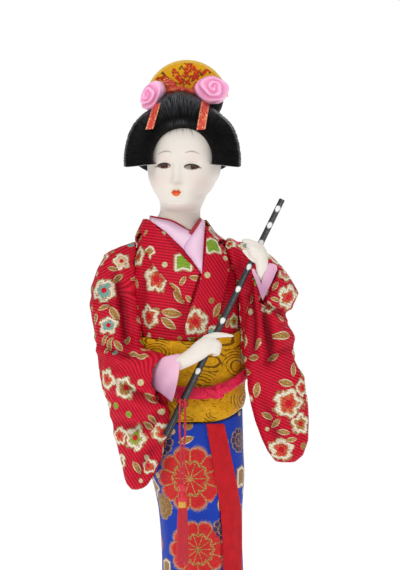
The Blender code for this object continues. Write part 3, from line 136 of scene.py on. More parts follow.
CAMERA_DISTANCE = 1.8
CAMERA_HEIGHT_ANGLE = math.radians(0.5)
CAMERA_LENS = 298.8
VIEW_MIDDLE = Vector((0.0027, 0.0, 0.2147))
LIGHTS_FACE = Vector((0.0, 0.0, 0.2))
WHITE = (1.0, 1.0, 1.0)
LIGHTS = {
    # place, size, power, colour
    "key": ((-0.9, -1.4, 1.3), 0.8, 12.0, (1.0, 0.98, 0.96)),
    "fill": ((1.3, -1.3, 0.5), 1.0, 2.0, WHITE),
    "top": ((0.1, -0.45, 1.5), 0.5, 5.0, WHITE),
    "rim": ((0.6, 1.2, 1.1), 0.8, 6.0, WHITE),
}
WORLD_LIGHT = 0.34
FLOOR_REACH = 3.0
FLOOR_GREY = (0.86, 0.86, 0.86)
FLOOR_GLOW = 0.72


def linked(name, data):
    """A new object in the scene."""
    item = bpy.data.objects.new(name, data)
    bpy.context.scene.collection.objects.link(item)
    return item


def add_camera():
    """The photograph's view: straight in front, near eye height."""
    camera = linked("camera", bpy.data.cameras.new("camera"))
    camera.data.lens = CAMERA_LENS
    back = Vector((0.0, -math.cos(CAMERA_HEIGHT_ANGLE), math.sin(CAMERA_HEIGHT_ANGLE)))
    camera.location = VIEW_MIDDLE + back * CAMERA_DISTANCE
    camera.rotation_euler = (-back).to_track_quat("-Z", "Y").to_euler()
    camera.data.clip_start = 0.01
    bpy.context.scene.camera = camera


def add_light(name, place, size, power, colour):
    """A square area light that faces the doll."""
    light = linked(name, bpy.data.lights.new(name, "AREA"))
    light.data.size = size
    light.data.energy = power
    light.data.color = colour
    light.location = place
    light.rotation_euler = (LIGHTS_FACE - Vector(place)).to_track_quat("-Z", "Y").to_euler()


def add_world():
    """White surroundings: bright behind the doll, softer as light on it."""
    world = bpy.data.worlds.new("studio")
    world.use_nodes = True
    nodes = world.node_tree.nodes
    links = world.node_tree.links
    nodes.clear()
    mix = nodes.new("ShaderNodeMixShader")
    links.new(nodes.new("ShaderNodeLightPath").outputs["Is Camera Ray"], mix.inputs[0])
    for slot, strength in ((1, WORLD_LIGHT), (2, 1.0)):
        background = nodes.new("ShaderNodeBackground")
        background.inputs["Color"].default_value = (*WHITE, 1.0)
        background.inputs["Strength"].default_value = strength
        links.new(background.outputs[0], mix.inputs[slot])
    links.new(mix.outputs[0], nodes.new("ShaderNodeOutputWorld").inputs[0])
    bpy.context.scene.world = world
    bpy.context.scene.view_settings.view_transform = "Standard"


def add_floor():
    """The pale floor that the base stands on."""
    mesh = bpy.data.meshes.new("floor")
    reach = FLOOR_REACH
    corners = [(-reach, -reach, 0.0), (reach, -reach, 0.0), (reach, reach, 0.0), (-reach, reach, 0.0)]
    mesh.from_pydata(corners, [], [(0, 1, 2, 3)])
    finish = Finish("floor", FLOOR_GREY, 0.8)
    finish.set("Emission Color", (*WHITE, 1.0))
    finish.set("Emission Strength", FLOOR_GLOW)
    mesh.materials.append(finish.material)
    floor = linked("floor", mesh)


# Materials

class Term:
    """A socket of a node tree, for writing patterns as sums."""

    def __init__(self, tree, socket):
        self.tree = tree
        self.socket = socket

    def math(self, operation, *others, clamp=False):
        node = self.tree.nodes.new("ShaderNodeMath")
        node.operation = operation
        node.use_clamp = clamp
        for slot, value in enumerate((self, *others)):
            if isinstance(value, Term):
                self.tree.links.new(value.socket, node.inputs[slot])
            else:
                node.inputs[slot].default_value = value
        return Term(self.tree, node.outputs[0])

    def __add__(self, other):
        return self.math("ADD", other)

    def __sub__(self, other):
        return self.math("SUBTRACT", other)

    def __mul__(self, other):
        return self.math("MULTIPLY", other)

    def __truediv__(self, other):
        return self.math("DIVIDE", other)

    def sine(self):
        return self.math("SINE")

    def cosine(self):
        return self.math("COSINE")

    def size(self):
        return self.math("ABSOLUTE")

    def inverse(self):
        return self * -1.0 + 1.0

    def below(self, limit, soft):
        """1 where the term is under the limit, 0 over it, with a soft edge."""
        return ((self * -1.0 + limit) / soft + 0.5).math("ADD", 0.0, clamp=True)

    def lowest(self, other):
        return self.math("MINIMUM", other)

    def highest(self, other):
        return self.math("MAXIMUM", other)


class Finish:
    """A Principled material that is built up from terms."""

    def __init__(self, name, colour, roughness, specular=0.5):
        self.material = bpy.data.materials.new(name)
        self.material.use_nodes = True
        self.tree = self.material.node_tree
        self.shader = self.tree.nodes["Principled BSDF"]
        self.set("Base Color", (*colour, 1.0))
        self.set("Roughness", roughness)
        self.set("Specular IOR Level", specular)

    def set(self, socket, value):
        self.shader.inputs[socket].default_value = value

    def link(self, socket, term):
        self.tree.links.new(term.socket, self.shader.inputs[socket])

    def sink(self, weight, radius):
        """Let light sink into the surface, by so many metres for each colour."""
        self.set("Subsurface Weight", weight)
        self.set("Subsurface Radius", radius)
        self.set("Subsurface Scale", 1.0)

    def node(self, kind, vector=None, **values):
        """A new node, fed with a vector term and with its own values."""
        node = self.tree.nodes.new("ShaderNode" + kind)
        if vector:
            self.tree.links.new(vector.socket, node.inputs["Vector"])
        for socket, value in values.items():
            node.inputs[socket].default_value = value
        return node

    def attribute(self, name, output="Fac"):
        """A named attribute of the mesh."""
        node = self.node("Attribute")
        node.attribute_name = name
        return Term(self.tree, node.outputs[output])

    def place(self, source=None, stretch=None):
        """A vector term, by default the object's coordinates, scaled by so much each way."""
        source = source or Term(self.tree, self.node("TexCoord").outputs["Object"])
        return Term(self.tree, self.node("Mapping", source, Scale=stretch).outputs[0]) if stretch else source

    def along(self, direction, pitch):
        """Waves along a direction, one for each pitch of so many metres."""
        node = self.tree.nodes.new("ShaderNodeVectorMath")
        node.operation = "DOT_PRODUCT"
        self.tree.links.new(self.place().socket, node.inputs[0])
        node.inputs[1].default_value = tuple(Vector(direction).normalized() / pitch)
        return (Term(self.tree, node.outputs["Value"]) * math.tau).sine()

    def noise(self, scale, detail=2.0, source=None, roughness=0.5, stretch=None):
        """Cloudy noise about 0.5; scale is in waves a metre."""
        vector = self.place(source, stretch)
        node = self.node("TexNoise", vector, Scale=scale, Detail=detail, Roughness=roughness)
        return Term(self.tree, node.outputs["Fac"])

    def cells(self, scale, stretch):
        """Distance to the nearest of scattered points, in cell widths."""
        node = self.node("TexVoronoi", self.place(stretch=stretch), Scale=scale)
        return Term(self.tree, node.outputs["Distance"])

    def mix(self, share, first, second):
        """first where share is 0, second where it is 1; colours as terms or triples."""
        node = self.node("Mix")
        node.data_type = "RGBA"
        for slot, value in ((0, share), (6, first), (7, second)):
            if isinstance(value, Term):
                self.tree.links.new(value.socket, node.inputs[slot])
            else:
                node.inputs[slot].default_value = (*value, 1.0)
        return Term(self.tree, node.outputs[2])

    def colour(self, share, first, second):
        """Colour the surface with a mix."""
        self.link("Base Color", self.mix(share, first, second))

    def relief(self, height, distance):
        """Bump from a height term; distance in metres for a height of 1."""
        node = self.node("Bump", Distance=distance)
        self.tree.links.new(height.socket, node.inputs["Height"])
        self.tree.links.new(node.outputs[0], self.shader.inputs["Normal"])


def woven(name, colour, pitch=0.00045):
    """Plain woven cloth: fine threads both ways and slight unevenness."""
    finish = Finish(name, colour, 0.6, 0.12)
    finish.set("Sheen Weight", 0.03)
    weave = finish.along((1, 0.2, 0), pitch) * finish.along((0, 0.2, 1), pitch)
    uneven = finish.noise(300.0, 3.0)
    share = (weave * 0.18 + uneven).math("ADD", -0.05, clamp=True)
    finish.colour(share, tuple(part * 0.6 for part in colour), tuple(part * 1.12 for part in colour))
    finish.relief(weave * 0.5 + uneven * 0.4, 0.00006)
    return finish.material


def grained(name, first, second, share, grain, rough, relief, specular=0.5):
    """A smooth finish: its grain mixes in a second colour and dulls it; no first colour means paint."""
    finish = Finish(name, first or second, rough[1], specular)
    term = finish.noise(**grain)
    finish.colour(term * share, first or finish.attribute("paint", "Color"), second)
    finish.link("Roughness", term * rough[0] + rough[1])
    finish.relief(term, relief)
    return finish


def threaded(name, first, second, share, grain, edge, relief, rough, specular=0.5):
    """Fine threads with dark gaps between them; no first colour means paint."""
    finish = Finish(name, first or second, rough, specular)
    term = finish.noise(**grain)
    finish.colour(term.below(*edge) * share, first or finish.attribute("paint", "Color"), second)
    finish.relief(term, relief)
    return finish.material


# Meshes

class Paint:
    """Colours of a mesh's points, laid over one another by shares."""

    def __init__(self, count, ground):
        self.colours = np.tile(ground, (count, 1))

    def lay(self, share, colour):
        """Lay a colour over the others."""
        share = share[:, None]
        self.colours = self.colours * (1.0 - share) + np.array(colour) * share

    def keep(self, mesh):
        """Store the colours on the mesh."""
        keep(mesh, "paint", np.hstack([self.colours, np.ones((len(self.colours), 1))]))


def keep(mesh, name, values, domain="POINT"):
    """Store a number, a vector or a colour for each point or face corner."""
    width = values.shape[1] if values.ndim > 1 else 1
    kind, field = {1: ("FLOAT", "value"), 3: ("FLOAT_VECTOR", "vector"), 4: ("FLOAT_COLOR", "color")}[width]
    mesh.attributes.new(name, kind, domain).data.foreach_set(field, values.ravel())


def mesh_from(points, faces):
    """A mesh in metres from drawn points."""
    mesh = bpy.data.meshes.new("mesh")
    mesh.from_pydata(metres(points).tolist(), [], faces)
    mesh.shade_smooth()
    return mesh


def add_piece(node, mesh, material):
    """Put a mesh in the scene as the look of one node of the part."""
    piece = linked(node + "_look", mesh)
    mesh.name = node + "_look"
    mesh.materials.clear()
    mesh.materials.append(material)
    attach(piece, "root")
    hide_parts(node)


def grid_faces(rows, columns):
    """Quads of a grid of points, row by row, closed round each row."""
    row, column = np.meshgrid(np.arange(rows - 1), np.arange(columns), indexing="ij")
    here = row * columns + column
    after = row * columns + (column + 1) % columns
    return np.stack([here, after, after + columns, here + columns], -1).reshape(-1, 4)


def grid_mesh(points, flip=False):
    """A grid of points (rows, columns, 3) as a skin with closed ends."""
    rows, columns = points.shape[:2]
    flat = np.vstack([points.reshape(-1, 3), points[0].mean(0), points[-1].mean(0)])
    faces = grid_faces(rows, columns)
    faces = (faces[:, ::-1] if flip else faces).tolist()
    last = (rows - 1) * columns
    for first, middle, turned in ((0, rows * columns, not flip), (last, rows * columns + 1, flip)):
        for k in range(columns):
            a, b = first + k, first + (k + 1) % columns
            faces.append([b, a, middle] if turned else [a, b, middle])
    return mesh_from(flat, faces)


def merged(grids):
    """Several closed grids as one mesh."""
    points = []
    faces = []
    count = 0
    for grid in grids:
        rows, columns = grid.shape[:2]
        points.append(grid.reshape(-1, 3))
        faces.append(grid_faces(rows, columns) + count)
        count += rows * columns
    return mesh_from(np.vstack(points), np.vstack(faces).tolist())


def read(items, field, width=3):
    """A field of all points or faces of a mesh, as an array."""
    values = np.empty(len(items) * width)
    items.foreach_get(field, values)
    return values.reshape(-1, width) if width > 1 else values


def drawn(places):
    """Places in metres as drawn millimetres."""
    return places / MM - (0.0, 0.0, BASE_HEIGHT)


def positions(mesh):
    """A mesh's points in drawn millimetres."""
    return drawn(read(mesh.vertices, "co"))


def set_positions(mesh, points):
    """Move a mesh's points."""
    mesh.vertices.foreach_set("co", metres(points).ravel())
    mesh.update()


def softened(source, voxel, rounds):
    """A fine, soft copy of a mesh: melted to even facets and smoothed."""
    item = linked("soft", source.copy())
    melt = item.modifiers.new("melt", "REMESH")
    melt.mode = "VOXEL"
    melt.voxel_size = voxel * MM
    ease = item.modifiers.new("ease", "SMOOTH")
    ease.factor = 0.5
    ease.iterations = rounds
    graph = bpy.context.evaluated_depsgraph_get()
    mesh = bpy.data.meshes.new_from_object(item.evaluated_get(graph))
    bpy.data.objects.remove(item)
    mesh.shade_smooth()
    return mesh


def creased(mesh, folds):
    """Press folds into a mesh: each is a line in x and z, its width and its depth."""
    points = positions(mesh)
    flat = points[:, (0, 2)]
    push = np.zeros(len(points))
    fold_shade = np.zeros(len(points))
    for line, width, depth in folds:
        line = np.asarray(line, float)
        near = np.full(len(points), np.inf)
        for start, end in zip(line[:-1], line[1:]):
            span = end - start
            share = np.clip(((flat - start) @ span) / (span @ span), 0.0, 1.0)
            near = np.minimum(near, np.linalg.norm(flat - start - share[:, None] * span, axis=1))
        tip = np.minimum(*(np.linalg.norm(flat - end, axis=1) for end in (line[0], line[-1])))
        strength = 0.35 + 0.65 * smooth_step(tip, 0.0, 3.0 * width)
        shape = bump(near, 0.0, width) - 0.45 * bump(near, 2.0 * width, 0.9 * width)
        push -= depth * shape * strength
        # painted shade: each fold also darkens the cloth along its line, kept as the "fold" attribute
        fold_shade += max(depth, 0.0) * bump(near, 0.0, 0.75 * width) * strength
    mesh.update()
    set_positions(mesh, points + read(mesh.vertex_normals, "vector") * push[:, None])
    keep(mesh, "fold", 0.55 * fold_shade)
    return mesh


add_camera()
add_world()
for light_name, light_how in LIGHTS.items():
    add_light(light_name, *light_how)
add_floor()

# The garments

PALETTE = {
    "red": (0.62, 0.008, 0.024), "teal": (0.05, 0.42, 0.44), "green": (0.13, 0.38, 0.02),
    "gold": (0.34, 0.15, 0.035), "cream": (0.72, 0.58, 0.38), "blue": (0.013, 0.06, 0.56),
    "navy": (0.010, 0.016, 0.13), "brown": (0.26, 0.15, 0.05),
}
FLOWERS = [
    # middle x and z, radius, colour of the core
    (-33.7, 198.8, 4.8, "teal"), (-20.7, 211.5, 3.8, "gold"), (-27.0, 209.9, 3.4, "cream"),
    (-13.8, 203.1, 5.3, "red"), (-16.6, 188.9, 4.8, "red"), (-31.9, 185.6, 4.0, "teal"),
    (-32.7, 165.3, 4.2, "red"), (-25.1, 162.4, 4.6, "gold"), (-15.0, 164.3, 3.8, "green"),
    (-21.7, 143.4, 4.9, "green"), (-11.4, 145.0, 3.8, "red"), (-16.7, 132.8, 3.2, "red"),
    (-27.8, 143.8, 3.8, "red"), (0.9, 187.0, 5.3, "red"), (1.3, 180.3, 3.4, "green"),
    (13.9, 216.3, 2.3, "gold"), (15.6, 187.1, 3.0, "green"), (36.0, 196.2, 4.8, "red"),
    (34.5, 205.0, 3.4, "red"), (28.5, 192.5, 2.5, "gold"), (36.1, 156.1, 6.1, "red"),
    (40.7, 148.5, 4.2, "gold"), (33.4, 138.7, 4.9, "red"), (41.4, 162.0, 3.4, "red"),
    (19.0, 172.7, 2.7, "green"),
]
FANS = [(-3.5, 210.0, 4.6, "green"), (7.4, 216.0, 4.3, "green")]
LEAVES = [
    # middle x and z, half length, turn in degrees
    (-30.4, 206.9, 2.1, -15), (-28.5, 203.3, 2.7, 40), (-21.2, 201.2, 2.1, -70), (-8.1, 190.2, 4.2, -8),
    (-9.3, 186.4, 3.8, -38), (-6.5, 198.9, 3.3, -50), (-33.7, 192.4, 2.5, 20), (-30.1, 190.2, 3.3, -55),
    (-33.6, 180.0, 2.5, 70), (-31.5, 178.1, 3.1, 80), (-28.2, 178.1, 2.9, -50), (-24.5, 179.7, 2.5, -65),
    (-22.4, 175.0, 2.5, -10), (-19.0, 174.2, 2.9, 10), (-11.9, 172.5, 2.5, 65), (-15.7, 158.5, 3.3, -35),
    (-15.4, 150.6, 2.5, -50), (-16.5, 147.8, 2.7, -30), (-21.1, 132.1, 2.9, -58), (-36.9, 187.9, 2.5, 80),
    (0.9, 203.5, 2.5, -10), (-3.8, 202.4, 2.3, 60), (-7.6, 200.5, 1.9, -40), (-5.3, 196.2, 3.3, -50),
    (-1.4, 195.5, 2.1, -50), (-17.9, 220.6, 1.5, 70), (9.1, 191.4, 3.1, 65), (13.3, 186.4, 2.1, 70),
    (31.0, 200.5, 2.1, 55), (31.1, 195.5, 2.1, -20), (32.8, 188.8, 2.5, -45), (34.2, 181.9, 3.8, 0),
    (24.2, 178.5, 3.3, 45), (22.0, 195.5, 2.1, 75), (23.2, 173.5, 2.9, 5), (30.5, 173.5, 2.5, 35),
    (38.0, 168.9, 2.9, 75), (35.1, 163.9, 3.3, -12), (28.1, 151.4, 2.7, -30), (31.4, 148.7, 2.5, 45),
    (34.2, 145.3, 2.7, -8), (37.2, 142.4, 2.3, 5), (24.1, 161.3, 3.3, 80),
]
BUDS = [
    (-23.6, 216.0, 1.9, "teal"), (-10.6, 208.5, 1.5, "cream"), (-29.2, 175.3, 1.5, "teal"),
    (-29.1, 155.3, 1.7, "green"), (-24.2, 152.1, 1.7, "green"), (-11.8, 153.2, 1.9, "cream"),
    (-19.6, 127.1, 1.2, "cream"), (-17.3, 135.8, 1.5, "cream"), (-11.3, 220.2, 1.4, "cream"),
    (-20.1, 218.3, 1.5, "gold"), (12.3, 210.9, 1.4, "cream"), (5.5, 204.6, 1.6, "cream"),
    (7.1, 195.0, 1.4, "gold"), (10.1, 188.6, 1.5, "green"), (-5.0, 180.7, 1.1, "gold"),
    (28.0, 197.8, 1.7, "cream"), (21.7, 190.8, 1.6, "cream"), (28.1, 146.5, 1.1, "cream"),
    (41.8, 140.0, 1.7, "gold"), (-19.6, 164.3, 1.7, "cream"),
]
NOTHING, FLOWER, LEAF, BUD, FAN, MUM = range(6)
SLEEVE_RIGHT_FOLDS = [
    # line in x and z, width, depth
    ([(-28.7, 206.9), (-26.2, 194.7), (-25.0, 183.3), (-25.2, 176.5)], 1.6, 1.7),
    ([(-21.8, 206.0), (-21.3, 195.0), (-20.8, 185.0), (-20.4, 178.5)], 1.5, -1.3),
    ([(-34.8, 178.6), (-30.8, 176.6), (-25.8, 174.6), (-20.1, 173.4)], 1.3, 1.3),
    ([(-8.0, 156.4), (-16.3, 158.2), (-22.4, 160.2), (-28.5, 164.3)], 1.5, 1.5),
    ([(-8.7, 154.0), (-16.3, 148.6), (-22.0, 146.7), (-27.7, 148.6)], 2.1, 1.2),
    ([(-12.5, 141.5), (-18.2, 135.8), (-20.9, 128.2)], 1.8, 1.1),
    ([(-37.5, 196.0), (-31.0, 193.5), (-26.0, 193.0)], 1.6, 0.8),
]
SLEEVE_LEFT_FOLDS = [
    ([(26.2, 194.3), (27.7, 187.1), (29.3, 177.6), (30.0, 171.9)], 1.9, 2.2),
    ([(25.8, 194.0), (30.0, 192.3), (34.2, 190.3), (37.5, 189.6)], 1.2, 1.5),
    ([(21.7, 200.0), (23.2, 187.1), (22.4, 173.8)], 1.5, 1.7),
    ([(26.2, 170.0), (33.1, 175.7), (37.5, 177.6)], 1.8, 1.0),
    ([(18.0, 211.2), (19.4, 200.4)], 1.6, 0.8),
    ([(9.6, 221.8), (13.8, 217.8), (15.6, 211.0), (16.8, 204.5)], 1.6, -1.1),
    ([(26.2, 158.6), (31.2, 145.3), (34.2, 139.6)], 2.6, 1.1),
]
BODY_FOLDS = [
    ([(-18.6, 207.0), (-19.4, 195.0), (-18.0, 183.0)], 2.0, 0.8),
    ([(-17.0, 184.0), (-8.0, 182.2), (2.0, 181.8)], 1.6, 0.35),
    ([(8.0, 214.0), (9.0, 198.0), (12.0, 184.0)], 1.8, 0.5),
    ([(-6.0, 222.0), (-2.0, 204.0), (-4.0, 184.0)], 2.2, 0.3),
]
GARMENTS = {
    # size of the facets, folds, rounds of smoothing
    "kimono_body": (0.53, BODY_FOLDS, 5), "kimono_collar": (0.38, [], 2),
    "sleeve_right": (0.52, SLEEVE_RIGHT_FOLDS, 5), "sleeve_left": (0.52, SLEEVE_LEFT_FOLDS, 5),
}
RIBS = {
    # height and x where each band of ribs begins, and its slope in degrees
    "kimono_body": [(212.0, 0.0, -8.0)], "kimono_collar": [(212.0, 0.0, -8.0)],
    "sleeve_right": [(212.0, -29.0, 28.0), (199.0, -29.0, -18.0), (172.0, -25.0, -58.0)],
    "sleeve_left": [(212.0, 30.0, -24.0)],
}
LEFT_COLLAR_RIBS = (212.0, 0.0, -57.0)
RIB_PITCH = 1.1
OUTLINE_NUDGES = {
    # heights and how far the outer edge moves outward there
    "sleeve_right": (
        (139.0, 145.0, 152.0, 197.0, 204.0, 211.0, 214.0, 218.0), (0.9, 0.6, 0.0, 0.7, 1.0, 1.2, 2.2, 0.0),
    ),
    "sleeve_left": (
        (160.0, 163.0, 166.2, 169.6, 173.0, 176.5, 179.9, 183.3, 186.7, 190.2, 194.0, 197.0, 204.0, 210.7,
         216.0),
        (0.0, 0.7, 1.3, 0.0, -0.8, 0.0, 1.0, 0.7, -0.7, -1.3, 0.0, 0.6, 0.8, 1.1, 0.0),
    ),
}
MORE_MOTIFS = [
    (4.6, FLOWER, "red"), (4.0, FLOWER, "green"), (4.3, FLOWER, "teal"), (3.6, FLOWER, "gold"),
    (3.0, LEAF, "gold"), (2.8, LEAF, "gold"), (3.2, LEAF, "gold"), (1.6, BUD, "cream"), (1.5, BUD, "green"),
]
MOTIF_REACH = 1.12
MOTIF_TRIES = 1500
MOTIF_LEAST_BACK = -0.35
# painted shade laid along the folds of the red silk
FOLD_SHADE = (0.045, 0.001, 0.003)
GOLD = (0.66, 0.43, 0.14)
GOLD_DARK = (0.17, 0.06, 0.010)


def source_mesh(name):
    """A copy of a solid's mesh, in metres."""
    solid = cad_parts[name]
    mesh = solid.data.copy()
    mesh.transform(solid.matrix_world)
    return mesh


def surface_of(mesh):
    """A mesh's faces in drawn millimetres, ready for finding points on them."""
    return BVHTree.FromPolygons(positions(mesh).tolist(), [tuple(face.vertices) for face in mesh.polygons])


def face_data(mesh):
    """Middles, normals and areas of a mesh's faces, in drawn millimetres."""
    faces = mesh.polygons
    return drawn(read(faces, "center")), read(faces, "normal"), read(faces, "area", 1)


def seen_motifs(meshes, rows):
    """Put each motif of the front view on the first garment behind it."""
    surfaces = {name: surface_of(mesh) for name, mesh in meshes.items()}
    found = {name: [] for name in meshes}
    for x, z, *motif in rows:
        hits = {}
        for name, surface in surfaces.items():
            point, way, _, distance = surface.ray_cast(Vector((x, VIEW_START_Y, z)), INTO_VIEW)
            if point:
                hits[distance] = (name, point, way)
        if hits:
            name, point, way = hits[min(hits)]
            found[name].append((point, way, *motif))
    return found


def scattered(mesh, motifs, tries, makers, least_back=-1.0):
    """Strew more motifs where a garment has none yet and faces far enough back."""
    middles, ways, areas = face_data(mesh)
    motifs = list(motifs)
    areas = areas * (ways[:, 1] > least_back)
    for index in RANDOM.choice(len(middles), tries, p=areas / areas.sum()):
        radius, kind, core = makers[RANDOM.integers(len(makers))]
        radius *= RANDOM.uniform(0.85, 1.15)
        point = Vector(middles[index])
        if all((point - other[0]).length > 0.88 * (radius + other[2]) + 0.4 for other in motifs):
            motifs.append((point, Vector(ways[index]), radius, RANDOM.uniform(-90.0, 90.0), kind, core))
    return motifs


def paint_motifs(mesh, motifs):
    """Give each face the coordinates of its nearest motif, for the cloth's material."""
    middles, ways, _ = face_data(mesh)
    centre, way = (np.array([tuple(motif[k]) for motif in motifs]) for k in (0, 1))
    radius, turn, kinds = (np.array([motif[k] for motif in motifs]) for k in (2, 3, 4))
    nearest = np.full(len(middles), -1)
    best = np.full(len(middles), MOTIF_REACH)
    for k in range(len(motifs)):
        share = np.linalg.norm(middles - centre[k], axis=1) / radius[k]
        wins = (share < best) & (ways @ way[k] > 0.1)
        best[wins] = share[wins]
        nearest[wins] = k
    side = -np.cross(way, (0.0, 0.0, 1.0))
    side /= np.maximum(np.linalg.norm(side, axis=1), 1e-6)[:, None]
    rise = np.cross(way, side)
    turn = np.radians(turn)[:, None]
    across = side * np.cos(turn) + rise * np.sin(turn)
    along = rise * np.cos(turn) - side * np.sin(turn)
    corners = np.empty(len(mesh.loops), int)
    mesh.loops.foreach_get("vertex_index", corners)
    sizes = np.empty(len(mesh.polygons), int)
    mesh.polygons.foreach_get("loop_total", sizes)
    which = np.repeat(nearest, sizes)
    away = (positions(mesh)[corners] - centre[which]) / radius[which][:, None]
    local = np.stack([(away * across[which]).sum(1), (away * along[which]).sum(1), kinds[which]], -1)
    local[which < 0] = (0.0, 0.0, NOTHING)
    keep(mesh, "motif", local, "CORNER")
    keep(mesh, "core", np.array([(*PALETTE[motif[5]], 1.0) for motif in motifs])[which], "CORNER")


def brocade(name, ground, shade, pitch, rib_relief):
    """Ribbed silk with gold-rimmed flowers, leaves and buds."""
    finish = Finish(name, ground, 0.48, 0.10)
    split = finish.node("SeparateXYZ", finish.attribute("motif", "Vector"))
    mx, my, kind = (Term(finish.tree, socket) for socket in split.outputs)
    is_kind = [kind.math("COMPARE", float(number), 0.2) for number in range(6)]
    angle = my.math("ARCTAN2", mx)
    reach = (mx * mx + my * my).math("SQRT")
    warp = finish.noise(520.0) - 0.5
    flower = reach / ((angle * 2.5).cosine().size() * 0.24 + 0.72) + warp * 0.75
    leaf = my.size() / ((mx * mx).inverse() * 0.46).highest(0.01)
    fan = mx.size().highest((my + mx.size() * 0.35).size()) / 0.82
    petals = (angle * 5.0).cosine().size()
    mum = reach / (petals.math("SQRT") * 0.16 + 0.84)
    speck = finish.noise(3600.0, 1.0)
    blotch = finish.noise(1300.0)
    edge = is_kind[FLOWER] * flower + is_kind[LEAF] * leaf + is_kind[BUD] * (reach / 0.8)
    edge = edge + is_kind[FAN] * fan + is_kind[MUM] * mum + is_kind[NOTHING] * 3.0
    edge = edge + (speck - 0.5) * 0.30
    inside = edge.below(1.0, 0.06)
    rim = inside * (edge - is_kind[MUM] * 0.08).below(0.87, 0.08).inverse()
    core_scale = is_kind[FLOWER] * 0.66 + is_kind[FAN] * 0.35 + is_kind[LEAF] * 0.3 + 1.12
    core_scale = core_scale - is_kind[MUM] * 0.09
    core = (edge * core_scale).below(1.0, 0.08)
    core_speck = is_kind[LEAF] * 0.35 - is_kind[MUM] * 0.38 + 0.5
    vein = is_kind[LEAF] * my.size().below(0.06, 0.04)
    middle = reach.below(0.5, 0.02)
    spokes = (petals * reach).below(0.11, 0.05) * middle.inverse()
    inner_spokes = ((angle * 5.0).sine().size() * reach).below(0.07, 0.05) * middle
    ring = (reach - 0.44 - petals * 0.10).size().below(0.036, 0.03)
    cells = is_kind[MUM] * spokes.highest(inner_spokes).highest(ring)
    rib = (finish.attribute("rib") * (math.tau / pitch)).sine() * 0.5
    # painted shade: the darker colour lies in the rib grooves and the ground on their crests; blotches mix in
    # the darker colour at random
    cloth = finish.mix(blotch * 0.35, finish.mix(rib + 0.5, shade, ground), shade)
    gold = finish.mix(speck.below(0.5, 0.10), GOLD, GOLD_DARK)
    cream = finish.mix(speck.below(0.42, 0.2) * 0.35, (0.86, 0.79, 0.64), (0.58, 0.40, 0.20))
    core_colour = finish.attribute("core", "Color")
    centre = finish.mix(speck.below(0.46, 0.08) * core_speck, core_colour, (0.62, 0.42, 0.11))
    seam = is_kind[FLOWER] * (edge * core_scale - 1.0).size().below(0.06, 0.05)
    colour = cloth
    for share, laid_on in (
        (inside, cream), (core, centre), (is_kind[FLOWER] * reach.below(0.22, 0.08), PALETTE["red"]),
        (seam, gold), (rim.highest(vein * inside).highest(cells * inside), gold),
        # painted shade of the rib grooves over the motifs
        ((rib + 0.5).inverse() * inside * 0.22, (0.12, 0.01, 0.01)),
    ):
        colour = finish.mix(share, colour, laid_on)
    # painted shade along the folds darkens the silk
    finish.colour(finish.attribute("fold").lowest(1.0) * 0.7, colour, FOLD_SHADE)
    finish.link("Roughness", inside * -0.14 + 0.50)
    finish.relief(rib + inside * 0.35 + speck * (inside * 0.35 + 0.12), rib_relief)
    return finish.material


def slanted(points, bands):
    """Rib distance that turns from the slope of one band to that of the next."""
    flat = points[:, (0, 2)]
    total = 0.0
    start = 0.0
    last_way = last_place = np.zeros(2)
    for height, x, slope in bands:
        way = np.array(tipped(0.0, 1.0, slope))
        place = np.array((x, height))
        start += last_way @ (place - last_place)
        share = fade(flat[:, 1], height - 5.0, height + 5.0) if last_way.any() else 1.0
        total = total * (1.0 - share) + ((flat - place) @ way + start) * share
        last_way, last_place = way, place
    return total


def garment(name, voxel, folds, rounds):
    """A solid's fine, folded copy."""
    return creased(softened(source_mesh(name), voxel, rounds), folds)


def nudge(mesh, heights, shifts):
    """Move the outer edge of a sleeve out or in by height."""
    points = positions(mesh)
    way = np.sign(points[:, 0].mean())
    outer = way * points[:, 0]
    share = smooth_step(outer, np.quantile(outer, 0.35), np.quantile(outer, 0.85))
    points[:, 0] += way * np.interp(points[:, 2], heights, shifts) * share
    set_positions(mesh, points)


def collar_ribs(points, ribs):
    """The left half of the collar has its own slope of ribs."""
    edge_x = np.interp(points[:, 2], (181.0, 192.4, 205.4, 217.5, 224.4), (-3.5, -0.7, 3.4, 4.9, 5.2))
    return np.where(points[:, 0] > edge_x - 0.5, slanted(points, [LEFT_COLLAR_RIBS]), ribs)


red_silk = brocade("red_silk", (0.76, 0.012, 0.046), (0.34, 0.003, 0.012), RIB_PITCH, 0.00020)
red_meshes = {name: garment(name, *how) for name, how in GARMENTS.items()}
for garment_name, outline in OUTLINE_NUDGES.items():
    nudge(red_meshes[garment_name], *outline)
front_rows = [(x, z, 1.1 * radius, 20.0 * x, FLOWER, core) for x, z, radius, core in FLOWERS]
front_rows += [(x, z, radius, 0.0, FAN, core) for x, z, radius, core in FANS]
front_rows += [(x, z, radius, turn, LEAF, "gold") for x, z, radius, turn in LEAVES]
front_rows += [(x, z, radius, 0.0, BUD, core) for x, z, radius, core in BUDS]
on_front = seen_motifs(red_meshes, front_rows)
for garment_name, mesh in red_meshes.items():
    motifs = scattered(mesh, on_front[garment_name], MOTIF_TRIES, MORE_MOTIFS, MOTIF_LEAST_BACK)
    paint_motifs(mesh, motifs)
    garment_points = positions(mesh)
    garment_ribs = slanted(garment_points, RIBS[garment_name])
    if garment_name == "kimono_collar":
        garment_ribs = collar_ribs(garment_points, garment_ribs)
    keep(mesh, "rib", garment_ribs)
    add_piece(garment_name, mesh, red_silk)

# The skirt, the belt and the plain cloths

